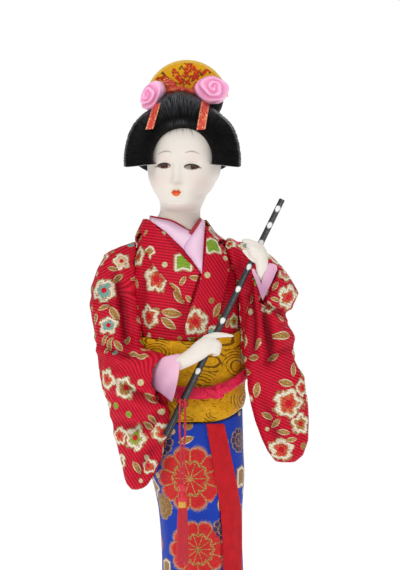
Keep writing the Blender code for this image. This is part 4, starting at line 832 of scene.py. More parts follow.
SKIRT = [
    # z, middle x, middle y, half width, half depth
    (151.0, -1.1, 0.2, 19.9, 17.6), (140.0, 0.0, 0.2, 19.2, 17.2), (128.0, 1.9, 0.2, 17.8, 16.4),
    (115.7, 3.0, 0.2, 16.0, 15.4), (100.0, 3.7, 0.3, 15.3, 14.9), (85.0, 4.1, 0.5, 15.5, 14.8),
    (65.0, 4.2, 0.8, 16.7, 15.6), (45.0, 3.8, 1.2, 18.9, 17.4), (25.0, 3.2, 1.8, 22.6, 20.8),
    (10.0, 2.8, 2.4, 27.2, 25.2), (0.0, 2.6, 2.8, 31.0, 28.6),
]
SKIRT_MOTIFS = [
    # middle x and z, radius, kind, colour
    (-1.0, 127.8, 12.6, MUM, "red"), (17.4, 142.0, 4.8, MUM, "navy"), (-1.9, 148.0, 2.4, BUD, "gold"),
    (-12.6, 141.5, 5.6, MUM, "navy"), (18.6, 128.5, 5.0, FAN, "brown"), (-11.4, 117.0, 5.2, MUM, "brown"),
    (11.5, 108.5, 4.6, MUM, "navy"), (2.0, 101.0, 11.0, MUM, "red"), (-10.0, 94.0, 4.2, FAN, "brown"),
    (17.5, 92.0, 4.0, MUM, "navy"), (-3.0, 76.0, 12.0, MUM, "red"), (11.0, 74.0, 5.0, MUM, "brown"),
    (6.0, 52.0, 10.0, MUM, "red"), (-12.0, 54.0, 6.0, MUM, "navy"), (-6.0, 26.0, 13.0, MUM, "red"),
    (20.0, 26.0, 9.0, MUM, "red"),
]
MORE_ON_SKIRT = [
    (11.0, MUM, "red"), (8.0, MUM, "red"), (5.5, MUM, "navy"), (4.6, FAN, "brown"), (3.6, LEAF, "gold"),
    (1.8, BUD, "cream"),
]
SKIRT_MOTIF_TRIES = 1200
SKIRT_RIB_WAY = (0.4, 0.0, 1.0)
SKIRT_RIB_PITCH = 0.62
WAIST = 149.2
OBI_MIDDLE_X = -1.0
OBI_HALF_WIDTH = 21.0
OBI_HALF_DEPTH = 18.2
OBI_SQUARE = 2.4
OBI_SWELL = [
    # share of the height, how far the belt stands out there
    (0.0, -0.7), (0.03, -0.25), (0.08, -0.05), (0.3, 0.1), (0.6, 0.1), (0.92, -0.05), (0.97, -0.25),
    (1.0, -0.7),
]
CORD_HALF_DEPTH = 0.95
CORD_HALF_HEIGHT = 2.3
CORD_PLAIT = 1.9
KNOT_LOOPS = [
    # middle x and z, tilt, half length
    (9.4, 160.9, 78.0, 3.2), (8.1, 160.3, -20.0, 3.9), (11.0, 161.0, 30.0, 3.4),
]
KNOT_GIRTH = 1.25
KNOT_Y = -20.7
STRIP_STEPS = 60
STRIP_SIDES = 18
STRIP_ROUNDS = 60
CUFF_THICKNESS = 0.45
CUFF_FACING = np.array((-0.22, 0.97, 0.0))
BASE_EDGE = 0.35
BOW_FOLDS = [
    ([(-14.0, 188.0), (-9.0, 168.0), (-13.0, 149.0)], 2.2, 0.8),
    ([(12.0, 188.0), (7.0, 168.0), (11.0, 149.0)], 2.2, 0.8),
    ([(-18.0, 165.5), (-1.0, 164.5), (16.0, 165.5)], 2.6, 1.0),
]
BAND_FOLDS = [([(11.0, 148.0), (14.0, 130.0), (15.5, 100.0), (14.0, 72.0)], 1.6, 0.12)]
RIGHT_CUFF = [
    # top x, y and z, bottom x, y and z, thickness
    (-16.0, -19.5, 172.0, -16.0, -19.5, 162.0, 4.5), (-10.6, -23.4, 174.0, -12.6, -22.4, 160.6, 6.6),
    (-4.9, -26.8, 175.2, -8.0, -24.4, 157.0, 8.6),
]
RAISED_CUFF = [
    # the two edges of each flap beside the wrist
    ([(22.0, -25.9, 206.9), (24.1, -25.9, 201.0), (26.2, -25.8, 195.1)],
     [(23.0, -27.2, 207.0), (24.4, -27.0, 204.2), (25.65, -26.6, 201.4)]),
    ([(28.8, -26.6, 209.2), (27.5, -27.6, 207.5), (25.65, -26.9, 201.4)],
     [(28.9, -26.6, 209.2), (31.6, -25.9, 206.9), (26.2, -25.8, 195.1)]),
]
RAISED_CUFF_FOLDS = [([(30.0, 206.5), (27.6, 201.0), (26.2, 196.0)], 0.7, 0.25)]


def obi_foot(x):
    """Height of the obi's lower edge."""
    return WAIST + 7.0 * np.maximum((x - 6.0) / 15.0, 0.0) ** 2


def obi_brim(x):
    """Height of the obi's upper edge."""
    return 179.4 + 0.0125 * np.maximum(x, 0.0) ** 2 + 0.004 * np.minimum(x, 0.0) ** 2


def cord_height(x, y):
    """Height of the braided cord's middle."""
    front = 160.1 + 0.024 * np.maximum(x - 3.0, 0.0) ** 2 + 0.006 * np.minimum(x - 3.0, 0.0) ** 2
    return front + (168.0 - front) * smooth_step(y, -6.0, 16.0)


def skirt_mesh():
    """The wrapped skirt with its overlap, the waves of its hem and soft folds from the hips."""
    z, angle = around(np.linspace(0.0, WAIST, 170), 200)
    middle_x, middle_y, half_width, half_depth = np.moveaxis(at_height(SKIRT, z), -1, 0)
    spread = fade(z, 4.0, 60.0)
    wave = 1.0 + 0.030 * spread * np.sin(7.0 * angle + 0.6) + 0.008 * spread * np.sin(17.0 * angle + 2.0)
    past = (math.radians(-66.0) - math.radians(14.0) * spread - angle) % math.tau
    lap = 0.7 * smooth_step(past, 0.0, 0.05) * fade(past, 0.5, 2.4)
    drape = 0.20 * np.sin(9.0 * angle + 0.045 * z) * fade(z, 100.0, 140.0)
    bulge = lap + drape + 0.12 * np.sin(4.0 * angle - 0.07 * z + 1.0)
    x, y = oval(angle, half_width * wave + bulge, half_depth * wave + bulge)
    x += middle_x
    y += middle_y
    top = smooth_step(z, 136.0, WAIST)
    z = z + GAP + (obi_foot(x) - 0.6 - WAIST - GAP) * top
    return grid_mesh(np.stack([x, y, z], -1))


def obi_oval(angle, swell):
    """The belt's outline, swollen by so much."""
    x, y = oval(angle, OBI_HALF_WIDTH + swell, OBI_HALF_DEPTH + swell, OBI_SQUARE)
    return x + OBI_MIDDLE_X, y


def obi_mesh():
    """The wound belt: squeezed by its cord, a little slack at its edges."""
    share, angle = around(np.linspace(0.0, 1.0, 64), 320)
    rough_x, rough_y = oval(angle, OBI_HALF_WIDTH, OBI_HALF_DEPTH, OBI_SQUARE)
    height = obi_foot(rough_x) + share * (obi_brim(rough_x) - obi_foot(rough_x))
    swell = np.interp(share, *zip(*OBI_SWELL)) - 0.35 * bump(height, cord_height(rough_x, rough_y), 3.4)
    swell = swell + 0.16 * np.sin(0.9 * height + 0.13 * rough_x)
    fold = (height - 172.0 - 0.16 * rough_x) * 0.9
    swell = swell - 0.45 * bump(fold, 0.0, 0.5) * smooth_step(rough_x, -6.0, 4.0)
    x, y = obi_oval(angle, swell)
    z = obi_foot(x) + share * (obi_brim(x) - obi_foot(x))
    return grid_mesh(np.stack([x, y, z], -1))


def braid(run, over, pitch):
    """Height of a plait's strands; run goes along it and over goes round it, from -1 to 1."""
    left = np.abs(np.sin(math.pi * (run / pitch + 0.9 * over)))
    right = np.abs(np.sin(math.pi * (run / pitch - 0.9 * over)))
    return np.maximum(left, right) - 0.85


def cord_mesh():
    """The braided cord round the obi, with its knot in front."""
    angle, turn = around(turns(720), 20)
    flat, rise = oval(turn, CORD_HALF_DEPTH, CORD_HALF_HEIGHT, 2.6)
    bulk = 1.0 + 0.09 * braid(angle * 20.0, rise / CORD_HALF_HEIGHT, CORD_PLAIT)
    x, y = obi_oval(angle, 1.44 + flat * bulk)
    band = np.stack([x, y, cord_height(x, y) + rise * bulk], -1)
    parts = [np.concatenate([band, band[:1]])]
    for middle_x, middle_z, tilt, half_length in KNOT_LOOPS:
        along, turn = around(np.linspace(-1.0, 1.0, 60), 22)
        girth = KNOT_GIRTH * np.sqrt(np.maximum(1.0 - along ** 4, 0.01))
        girth = girth * (1.0 + 0.16 * braid(along * half_length, np.sin(turn), 1.6))
        x, z = tipped(along * half_length, np.cos(turn) * girth, tilt)
        y = KNOT_Y - 0.9 * np.cos(along * 1.4) + np.sin(turn) * girth
        parts.append(np.stack([middle_x + x, y, middle_z + z], -1))
    return merged(parts)


def drawn_tight(depth, rounds, both_ways):
    """Pull a laid strip forward over hollows, as taut cloth spans them."""
    for _ in range(rounds):
        depth[1:-1] = np.minimum(depth[1:-1], 0.5 * (depth[:-2] + depth[2:]))
        if both_ways:
            depth[:, 1:-1] = np.minimum(depth[:, 1:-1], 0.5 * (depth[:, :-2] + depth[:, 2:]))


def laid(first, second, thick, depth_at=None):
    """A strip of cloth between two edges, closed all round; depth_at gives its front at x and z."""
    steps = np.linspace(0.0, len(first) - 1.0, STRIP_STEPS)
    start, end = curve_through(first, steps), curve_through(second, steps)
    front = start[:, None] + (end - start)[:, None] * np.linspace(0.0, 1.0, STRIP_SIDES)[:, None]
    if depth_at:
        front[..., 1] = [[depth_at(x, z) for x, _, z in row] for row in front]
        drawn_tight(front[..., 1], STRIP_ROUNDS, True)
    back = front[:, ::-1].copy()
    back[1:-1, :, 1] += thick
    return np.concatenate([front, back], 1)


def cuff_mesh():
    """The lower under-sleeve: a flattened tube that is open where the hand comes out."""
    keys = curve_through(RIGHT_CUFF, np.linspace(0.0, 2.0, 60))[:, None]
    turn = turns(120)[None, :]
    rows = []
    for inset, order in ((0.0, slice(None)), (CUFF_THICKNESS, slice(None, None, -1))):
        along = 0.5 * (keys[..., 3:6] - keys[..., :3])
        reach = 1.0 - inset / np.linalg.norm(along, axis=-1)
        up, out = oval(turn, reach, 0.5 * keys[..., 6] - inset, 1.75)
        crease = 0.10 * np.sin(0.55 * keys[..., 0] + 5.0 * up)
        ring = 0.5 * (keys[..., 3:6] + keys[..., :3]) - along * up[..., None]
        rows.append((ring + CUFF_FACING * (out + crease)[..., None])[order])
    return grid_mesh(np.concatenate(rows))


def swirled(name):
    """Mustard brocade with dark lines that curl round scattered centres."""
    finish = Finish(name, (0.60, 0.33, 0.02), 0.42, 0.12)
    warp = finish.noise(160.0)
    apart = finish.cells(70.0, (1.0, 0.6, 1.5))
    rings = (apart * 66.0 + warp * 7.0).sine()
    breaks = finish.noise(900.0)
    patches = finish.noise(110.0, 1.0).below(0.44, 0.10)
    line = (rings + (breaks - 0.5) * 1.1 + patches * 1.2).below(-0.60, 0.25)
    line = line * apart.below(0.16, 0.04).inverse()
    thread = finish.along((1.0, 0.3, -0.5), 0.00042)
    gold = finish.mix(thread * 0.25 + breaks, (0.44, 0.20, 0.002), (0.86, 0.46, 0.010))
    dash = finish.noise(1.0, 1.0, stretch=(700.0, 700.0, 1900.0)).below(0.33, 0.04)
    finish.colour((line * 0.85).highest(dash * 0.5), gold, (0.09, 0.025, 0.003))
    finish.relief(thread * 0.4 - line * 0.8 + breaks * 0.5, 0.00009)
    return finish.material


skirt = skirt_mesh()
skirt_rows = [(x, z, radius, 0.0, kind, core) for x, z, radius, kind, core in SKIRT_MOTIFS]
on_skirt = seen_motifs({"skirt": skirt}, skirt_rows)["skirt"]
paint_motifs(skirt, scattered(skirt, on_skirt, SKIRT_MOTIF_TRIES, MORE_ON_SKIRT))
keep(skirt, "rib", positions(skirt) @ SKIRT_RIB_WAY)
blue_silk = brocade("blue_silk", PALETTE["blue"], (0.012, 0.04, 0.30), SKIRT_RIB_PITCH, 0.00008)
add_piece("skirt", skirt, blue_silk)
gold_silk = swirled("gold_silk")
add_piece("obi", obi_mesh(), gold_silk)
add_piece("obi_bow", garment("obi_bow", 0.56, BOW_FOLDS, 5), gold_silk)
rose_braid = threaded(
    "rose_braid", (0.80, 0.018, 0.085), (0.42, 0.004, 0.02), 1.0,
    {"scale": 2600.0, "stretch": (0.6, 0.6, 1.6)}, (0.47, 0.3), 0.00012, 0.5, 0.2,
)
add_piece("obi_cord", cord_mesh(), rose_braid)
add_piece("front_band", garment("front_band", 0.40, BAND_FOLDS, 2), woven("red_cloth", (0.60, 0.010, 0.018)))
black_lacquer = grained(
    "black_lacquer", (0.007, 0.006, 0.006), (0.024, 0.018, 0.016), 1.0,
    {"scale": 240.0, "detail": 4.0, "stretch": (0.15, 1.0, 1.0)}, (0.16, 0.14), 0.00003,
)
black_lacquer.set("Coat Weight", 0.6)
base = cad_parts["base"]
base.data.materials.clear()
base.data.materials.append(black_lacquer.material)
edge = base.modifiers.new("edge", "BEVEL")
edge.width = BASE_EDGE * MM
edge.segments = 3

# The head

HEAD_MIDDLE = (-3.4, 0.4)
HEAD_TURN = math.radians(12.0)
HEAD_WIDTHS = [
    # z, half width, depth of the face, depth of the back
    (228.6, 7.0, 8.4, 6.0), (230.4, 8.0, 11.6, 8.0), (233.0, 9.1, 12.1, 10.0), (237.0, 11.5, 12.9, 12.0),
    (241.0, 13.1, 13.3, 13.6), (245.0, 13.8, 13.3, 14.8), (250.0, 13.9, 13.9, 15.6),
    (256.0, 13.4, 14.1, 15.0), (260.5, 11.9, 12.9, 13.0), (264.0, 8.8, 9.4, 9.6), (266.4, 4.0, 4.2, 4.6),
]
HEAD_SIDES = 270
NECK_HALF_WIDTH = 7.8
NECK_HALF_DEPTH = 7.4
NECK_MIDDLE = (-2.1, -2.2)
NECK_RIM = (-5.6, 2.0, 11.9, 9.8)
NECK_PIT = np.array((-5.6, 2.0, 219.5))
NECK_RIM_HEIGHT = 226.4
CROSSING_X = -0.2
CROSSING_HEIGHT = 220.2
FEATURES = [
    # height, then middle and half width across, then z and half height: on both sides unless in the middle
    (0.45, 1.4, 0.8, 239.3, 0.9),  # wings of the nose
    (-0.50, 0.0, 1.6, 238.0, 0.7),  # under the nose
    (1.15, 0.0, 1.5, 244.6, 3.4),  # bridge
    (-0.85, 5.4, 3.0, 246.6, 2.0),  # eye sockets
    (0.35, 5.4, 3.0, 244.9, 1.2),  # lower lids
    (0.35, 5.0, 4.0, 249.8, 2.0),  # brows
    (0.65, 0.0, 2.0, 236.3, 0.75),  # upper lip
    (0.75, 0.0, 1.7, 234.7, 0.8),  # lower lip
    (-0.35, 2.4, 0.8, 235.6, 0.9),  # corners of the mouth
    (-0.20, 0.0, 3.0, 232.9, 1.0),  # dent over the chin
    (0.35, 0.0, 3.2, 230.8, 1.8),  # chin
    (0.35, 7.5, 3.4, 239.0, 3.6),  # cheeks
]
EYES = [
    # middle x and z, half width, tilt, middle x of the iris, side of the outer corner
    (-10.95, 245.75, 2.60, -0.02, -10.8, -1.0), (-0.4, 245.30, 3.00, 0.0, 0.5, 1.0),
]
BROWS = [
    # x and z of three points
    ((-13.0, 250.2), (-10.4, 251.35), (-8.1, 250.9)), ((-2.8, 250.7), (0.0, 251.25), (2.4, 250.3)),
]
MOUTH_X = -6.3
MOUTH_Z = 235.75
SKIN = (0.77, 0.72, 0.655)
BLUSH = (0.80, 0.55, 0.52)
# the eye on the +1 side has its white painted darker: painted shade on the face's shaded side
EYE_WHITE_LIT_AND_SHADED = {-1.0: (0.47, 0.41, 0.38), 1.0: (0.29, 0.26, 0.23)}
EYE_SHADE = (0.16, 0.14, 0.12)
EYE_CORNER = (0.05, 0.03, 0.03)
EYE_EDGE = (0.10, 0.06, 0.06)
IRIS_RADIUS = 1.45
IRIS = (0.034, 0.006, 0.006)
IRIS_STREAK = (0.11, 0.022, 0.020)
IRIS_LIGHT = (0.13, 0.028, 0.022)
PUPIL = (0.010, 0.005, 0.005)
GLINT = (0.75, 0.72, 0.70)
LASH = (0.016, 0.012, 0.014)
LASH_TAIL = (0.05, 0.035, 0.035)
LOWER_LID = (0.16, 0.10, 0.09)
LID_CREASE = (0.42, 0.30, 0.27)
BROW = (0.17, 0.14, 0.13)
MOUTH_HALF_WIDTH = 1.95
LIPS = (0.74, 0.085, 0.009)
LIPS_DARK = (0.46, 0.040, 0.006)
LIPS_EDGE = (0.85, 0.62, 0.36)
LIPS_PARTING = (0.30, 0.02, 0.008)
LIPS_SHINE = (0.95, 0.30, 0.12)
FINE_HAIR = (0.09, 0.08, 0.08)
BLUSH_AND_NOSE_SHADE = [
    # middle x and z, half width and half height, strength, colour
    (-13.0, 240.5, 3.4, 3.4, 0.30, BLUSH), (2.2, 240.0, 3.8, 3.8, 0.34, BLUSH),
    (-10.5, 248.4, 2.6, 2.6, 0.22, BLUSH), (0.2, 248.6, 2.8, 2.8, 0.22, BLUSH),
    # painted shade under the nose tip
    (-6.27, 239.3, 1.6, 0.85, 0.60, (0.55, 0.45, 0.33)),
]
FACE_SHADE_AND_HIGHLIGHT = [
    # middle x, half width, heights where it begins, heights where it ends, strength, colour
    # painted highlight along the nose's ridge
    (-5.8, 0.55, (240.0, 241.2), (245.6, 248.0), 0.35, (0.86, 0.81, 0.75)),
    # painted shade beside the nose
    (-7.6, 0.80, (239.6, 241.6), (245.6, 248.4), 0.12, (0.55, 0.42, 0.36)),
    # painted shade under the chin, on the neck
    (-6.6, 8.50, (221.5, 227.0), (228.6, 230.6), 0.42, (0.52, 0.40, 0.33)),
]
FINE_HAIRS = 26


def face_relief(across, z):
    """How far the features stand out of the plain face."""
    nose_width = 1.55 + 0.04 * (246.0 - z).clip(0.0, 8.0)
    total = 2.0 * bump(across, 0.0, nose_width) * bump(z, 240.2, 1.7 + 0.4 * (z > 240.2))
    for height, middle, half_width, level, half_height in FEATURES:
        for place in {middle, -middle}:
            total += height * bump(across, place, half_width) * bump(z, level, half_height)
    return total


def head_points(angle, z):
    """Points of the head or neck; angle 0 faces forward and grows to the doll's left."""
    share = 0.5 - 0.5 * np.cos(angle)
    half_width, face_depth, back_depth = np.moveaxis(at_height(HEAD_WIDTHS, z), -1, 0)
    depth = np.where(np.cos(angle) > 0.0, face_depth, back_depth)
    across, forward = oval(0.5 * math.pi - angle, half_width, depth, 2.25)
    jaw = 229.6 + 5.0 * share
    side = 1.0 - np.abs(np.cos(angle))
    skull = smooth_step(z, jaw - 2.4 - 2.5 * side, jaw + 2.2 + 2.0 * side)
    jowl = 1.75 * bump(z, 234.9, 2.4) + 0.75 * bump(z, 239.0, 2.6)
    across = across - jowl * (across.clip(0.0) / 11.0) ** 2
    neck_across, neck_forward = oval(0.5 * math.pi - angle, NECK_HALF_WIDTH, NECK_HALF_DEPTH, 2.0)
    neck_across = neck_across + NECK_MIDDLE[0]
    neck_forward = neck_forward + NECK_MIDDLE[1] + 0.8 * fade(z, 221.0, 229.0)
    across = neck_across + (across - neck_across) * skull
    forward = neck_forward + (forward - neck_forward) * skull
    forward = forward + skull * face_relief(across, z) * smooth_step(np.cos(angle), 0.0, 0.25)
    x = HEAD_MIDDLE[0] + across * math.cos(HEAD_TURN) - forward * math.sin(HEAD_TURN)
    y = HEAD_MIDDLE[1] - across * math.sin(HEAD_TURN) - forward * math.cos(HEAD_TURN)
    return np.stack([x, y, z + 0.0 * x], -1)


def yoke_ring(turn, share, lift):
    """A ring of the shoulder piece, which fills the kimono's neck opening."""
    angle = turn - 0.5 * math.pi
    x, y = oval(angle, NECK_RIM[2], NECK_RIM[3], 2.35)
    x += NECK_RIM[0]
    right = CROSSING_HEIGHT + 6.2 * (CROSSING_X - x) / 16.6
    left = np.minimum(CROSSING_HEIGHT + 5.6 * (x - CROSSING_X) / 3.6, 221.4)
    crossing = np.where(x < CROSSING_X, right, left)
    height = NECK_RIM_HEIGHT + smooth_step(-np.sin(angle), 0.0, 0.6) * (crossing - NECK_RIM_HEIGHT)
    height = height - 1.6 * smooth_step(np.sin(angle), 0.0, 1.0)
    height = height - 3.4 * smooth_step(x, 3.8, 7.4) - 1.2 * smooth_step(-x, 14.5, 18.0)
    rim = np.stack([x, y + NECK_RIM[1], height], -1)
    return NECK_PIT + (rim - NECK_PIT) * share + (0.0, 0.0, lift)


def head_mesh():
    """The head and neck, dense over the face."""
    turn = turns(HEAD_SIDES) - math.pi
    angle = turn - 0.78 * np.sin(turn)
    twist = angle - HEAD_TURN
    keys = [yoke_ring(twist, share, lift) for share, lift in ((0.86, 0.45), (0.80, 1.02), (0.73, 1.86))]
    keys += [head_points(angle, np.full(HEAD_SIDES, z)) for z in (228.2, 229.2)]
    rows = [curve_through(keys, step) for step in np.linspace(0.0, 2.95, 18)]
    levels = np.concatenate([np.linspace(228.2, 256.0, 150), np.linspace(256.3, 265.8, 16)])
    rows += [head_points(angle, np.full(HEAD_SIDES, z)) for z in levels]
    return grid_mesh(np.array(rows))


def brow_share(points, x, z, width):
    """A soft line through three points: 1 on it, 0 beyond its half width."""
    (x1, z1), (x2, z2), (x3, z3) = points
    share = np.clip((x - x1) / (x3 - x1), 0.0, 1.0)
    middle = (x2 - x1) / (x3 - x1)
    lift = z2 - z1 - (z3 - z1) * middle
    height = z1 + (z3 - z1) * share + lift * share * (1.0 - share) / (middle * (1.0 - middle))
    past = np.maximum(x1 - x, x - x3).clip(0.0)
    thick = width * (0.35 + 0.65 * np.sin(math.pi * np.clip(share, 0.02, 0.98)))
    return fade(np.hypot(past, z - height), 0.5 * thick, thick + 0.12)


def paint_eye(skin, x, z, front, middle_x, middle_z, half, tilt, iris_x, outer):
    """Paint one eye: white, iris, pupil, glint, lashes and the crease of the lid."""
    u = (x - middle_x) / half
    seen = (np.abs(u) < 1.0) * front
    level = middle_z + tilt * (x - middle_x)
    arch = np.clip(1.0 - u * u, 0.0, 1.0)
    upper = level + 1.02 * arch ** 0.60 * (1.0 - 0.18 * outer * u)
    lower = level - 0.95 * arch ** 0.80
    inside = smooth_step(upper - z, 0.0, 0.16) * smooth_step(z - lower, 0.0, 0.16) * seen
    # the white, with painted shade on the face's shaded side
    skin.lay(inside, EYE_WHITE_LIT_AND_SHADED[outer])
    skin.lay(inside * smooth_step(z - middle_z, -0.6, 0.9) * 0.45, EYE_SHADE)
    skin.lay(inside * smooth_step(outer * (x - iris_x), 0.2, 1.5) * 0.8, EYE_CORNER)
    skin.lay(inside * smooth_step(np.abs(u), 0.72, 0.98) * 0.8, EYE_EDGE)
    side = x - iris_x
    rise = z - middle_z
    away = np.hypot(side, rise - 0.05) / IRIS_RADIUS
    iris = inside * (away < 0.9)
    skin.lay(inside * fade(away, 0.88, 1.05), IRIS)
    skin.lay(iris * (0.5 + 0.5 * np.sin(5.2 * side + 0.8)) * 0.6, IRIS_STREAK)
    skin.lay(iris * fade(np.abs(side - 0.25), 0.30, 0.60), IRIS_LIGHT)
    skin.lay(inside * fade(np.hypot(side + 0.35, rise - 0.1), 0.38, 0.62), PUPIL)
    skin.lay(inside * fade(np.hypot(side + 0.5, rise - 0.45), 0.08, 0.26) * 0.3, GLINT)
    skin.lay(fade(np.abs(z - upper - 0.02), 0.14 + 0.10 * arch, 0.28 + 0.14 * arch) * seen, LASH)
    past = (x - middle_x - outer * half) * outer
    tail = fade(np.abs(z - level + 0.20 + 0.16 * past), 0.10, 0.30) * (past > -0.9)
    skin.lay(tail * fade(past, 0.2, 1.1) * front, LASH_TAIL)
    skin.lay(fade(np.abs(z - lower), 0.08, 0.26) * (np.abs(u) < 0.98) * front * 0.42, LOWER_LID)
    skin.lay(fade(np.abs(z - upper - 0.95), 0.08, 0.34) * arch * front * 0.22, LID_CREASE)


def paint_mouth(skin, x, z, front):
    """Paint the lips with their parting, shine and pale edge."""
    u = (x - MOUTH_X) / MOUTH_HALF_WIDTH
    rise = z - MOUTH_Z
    bow = 0.34 * bump(np.abs(u), 0.42, 0.26) - 0.10 * bump(u, 0.0, 0.18)
    below_upper = 0.825 * np.clip(1.0 - u * u, 0.0, 1.0) ** 0.7 + bow - rise
    over_lower = rise + 1.40 * np.clip(1.0 - (u / 0.86) ** 2, 0.0, 1.0) ** 0.6
    lips = smooth_step(below_upper, -0.08, 0.14) * smooth_step(over_lower, -0.08, 0.14) * (np.abs(u) < 1.0)
    lips = lips * front
    pale = smooth_step(below_upper, -0.40, -0.15) * smooth_step(over_lower, -0.40, -0.15)
    skin.lay(pale * (np.abs(u) < 1.12) * front * 0.5, LIPS_EDGE)
    skin.lay(lips, LIPS)
    skin.lay(lips * smooth_step(rise, -0.1, 0.3) * 0.45, LIPS_DARK)
    skin.lay(fade(np.abs(rise - 0.05 - 0.12 * u * u), 0.05, 0.26) * lips * 0.6, LIPS_PARTING)
    skin.lay(lips * bump(x, MOUTH_X + 0.1, 0.7) * bump(rise, -0.55, 0.3) * 0.5, LIPS_SHINE)


def paint_face(mesh):
    """Paint the eyes, brows, lips, cheeks and the fine hairs at the forehead."""
    x, y, z = positions(mesh).T
    front = smooth_step(-y, 2.0, 4.0)
    skin = Paint(len(x), SKIN)
    # blush, and painted shade under the nose tip
    for middle_x, middle_z, half_width, half_height, strength, colour in BLUSH_AND_NOSE_SHADE:
        skin.lay(strength * bump(x, middle_x, half_width) * bump(z, middle_z, half_height) * front, colour)
    for eye in EYES:
        paint_eye(skin, x, z, front, *eye)
    for brow in BROWS:
        skin.lay(brow_share(brow, x, z, 0.26) * front * 0.62, BROW)
    paint_mouth(skin, x, z, front)
    # painted highlight on the nose, painted shade beside it and under the chin
    for middle_x, half_width, begins, ends, strength, colour in FACE_SHADE_AND_HIGHLIGHT:
        share = bump(x, middle_x, half_width) * smooth_step(z, *begins) * fade(z, *ends)
        skin.lay(strength * share * front, colour)
    for _ in range(FINE_HAIRS):
        foot_x = RANDOM.uniform(-9.5, 0.2)
        top = 260.6 - 0.055 * (foot_x + 4.6) ** 2
        length = RANDOM.uniform(1.6, 4.2)
        lean = (foot_x + 5.0) * 0.06 + RANDOM.uniform(-0.04, 0.04)
        down = (top - z) / length
        strand = fade(np.abs(x - foot_x - lean * (top - z)), 0.03, 0.17) * (down > -0.6) * (down < 1.0)
        skin.lay(strand * (1.0 - np.clip(down, 0.0, 1.0)) * front * 0.55, FINE_HAIR)
    skin.keep(mesh)


def porcelain(name, first, share):
    """Matt white skin, faintly mottled, with paint on it where there is any."""
    finish = grained(
        name, first, (0.66, 0.56, 0.50), share, {"scale": 420.0, "detail": 3.0}, (0.16, 0.34), 0.0, 0.2
    )
    finish.sink(0.03, (0.004, 0.0025, 0.0018))
    finish.relief(finish.noise(1500.0), 0.000015)
    return finish.material


def satin(name, share):
    """Shiny ribbon with its paint kept on the points."""
    finish = grained(
        name, None, (0.97, 0.50, 0.70), share, {"scale": 1500.0, "detail": 3.0}, (0.2, 0.24), 0.00006, 0.25
    )
    finish.sink(0.12, (0.002, 0.001, 0.0015))
    return finish.material


head = head_mesh()
paint_face(head)
add_piece("head", head, porcelain("painted_skin", None, 0.02))

# The under-collar and the cuffs

UNDER_COLLAR = [
    # two edges in x and z, lift, colour
    ([(-16.4, 227.2), (-12.0, 226.4), (-8.0, 225.5), (-4.0, 223.4), (-0.6, 220.9)],
     [(-16.4, 225.6), (-12.0, 224.8), (-8.0, 223.8), (-4.0, 221.7),
      (-0.6, 219.2)], 0.35, (0.42, 0.002, 0.018)),
    ([(-16.6, 226.65), (-12.0, 225.75), (-8.0, 224.75), (-4.0, 222.65), (-0.1, 220.15), (3.0, 216.0)],
     [(-16.6, 225.6), (-13.4, 223.2), (-10.1, 220.7), (-6.8, 217.5), (-3.5, 214.3),
      (-1.0, 211.0)], 0.3, None),
    ([(-1.6, 220.5), (0.6, 223.6), (2.8, 226.4)], [(0.2, 219.4), (2.2, 222.3), (4.0, 225.4)], 0.3,
     (0.42, 0.002, 0.018)),
    ([(3.4, 225.4), (1.7, 222.6), (-0.2, 219.9), (-3.3, 214.8), (-0.2, 210.1), (3.1, 205.2)],
     [(4.7, 225.2), (4.5, 222.2), (4.3, 218.8), (4.0, 214.2), (3.7, 209.8), (3.4, 205.1)], 0.3, None),
]
COLLAR_PINK = (0.90, 0.62, 0.80)
COLLAR_EDGE_SHADE = (0.62, 0.33, 0.56)
STRIP_THICKNESS = 0.3
FLAP_THICKNESS = 0.5
# painted shade and painted light of the satin cuffs
SATIN_SHADE = (0.46, 0.23, 0.36)
SATIN_LIT = (0.86, 0.50, 0.66)


def front_of(surfaces, x, z):
    """Depth of the foremost surface at x and z."""
    hits = [surface.ray_cast(Vector((x, VIEW_START_Y, z)), INTO_VIEW)[0] for surface in surfaces]
    return min([hit.y for hit in hits if hit], default=0.0)


def under_collar_mesh():
    """The crossed strips, laid over the neck and the kimono."""
    behind = [surface_of(mesh) for mesh in (head, red_meshes["kimono_body"], red_meshes["kimono_collar"])]
    across = np.linspace(0.0, 1.0, STRIP_SIDES)
    pink = Paint(2 * STRIP_SIDES, COLLAR_PINK)
    # painted satin shading: the pink strips are darker towards their edges and lighter in the middle
    pink.lay(0.75 * np.abs(2.0 * np.append(across, across[::-1]) - 1.1) ** 2.2, COLLAR_EDGE_SHADE)
    strips = []
    colours = []
    for first, second, lift, colour in UNDER_COLLAR:
        edges = [[(x, 0.0, z) for x, z in edge] for edge in (first, second)]
        strips.append(laid(*edges, STRIP_THICKNESS, lambda x, z: front_of(behind, x, z) - lift))
        behind.append(surface_of(merged(strips[-1:])))
        colours += [np.tile(colour, (2 * STRIP_SIDES, 1)) if colour else pink.colours] * STRIP_STEPS
    mesh = merged(strips)
    Paint(1, np.vstack(colours)).keep(mesh)
    return mesh


def paint_cuff(mesh, x, z, way):
    """Painted light on satin: shaded one way and lit the other, with soft bands across it."""
    away = positions(mesh)[:, (0, 2)] - (x, z)
    run, side = away @ way, away @ (way[1], -way[0])
    paint = Paint(len(away), SATIN_SHADE)
    paint.lay(smooth_step(run + 0.9 * np.sin(0.9 * side), -5.0, 8.0), SATIN_LIT)
    paint.keep(mesh)


def raised_cuff_mesh():
    """The raised under-sleeve with its two flaps beside the wrist."""
    mesh = garment("cuff_left", 0.32, RAISED_CUFF_FOLDS, 3)
    shape = bmesh.new()
    shape.from_mesh(mesh)
    shape.from_mesh(merged([laid(*edges, FLAP_THICKNESS) for edges in RAISED_CUFF]))
    shape.to_mesh(mesh)
    shape.free()
    mesh.shade_smooth()
    return mesh


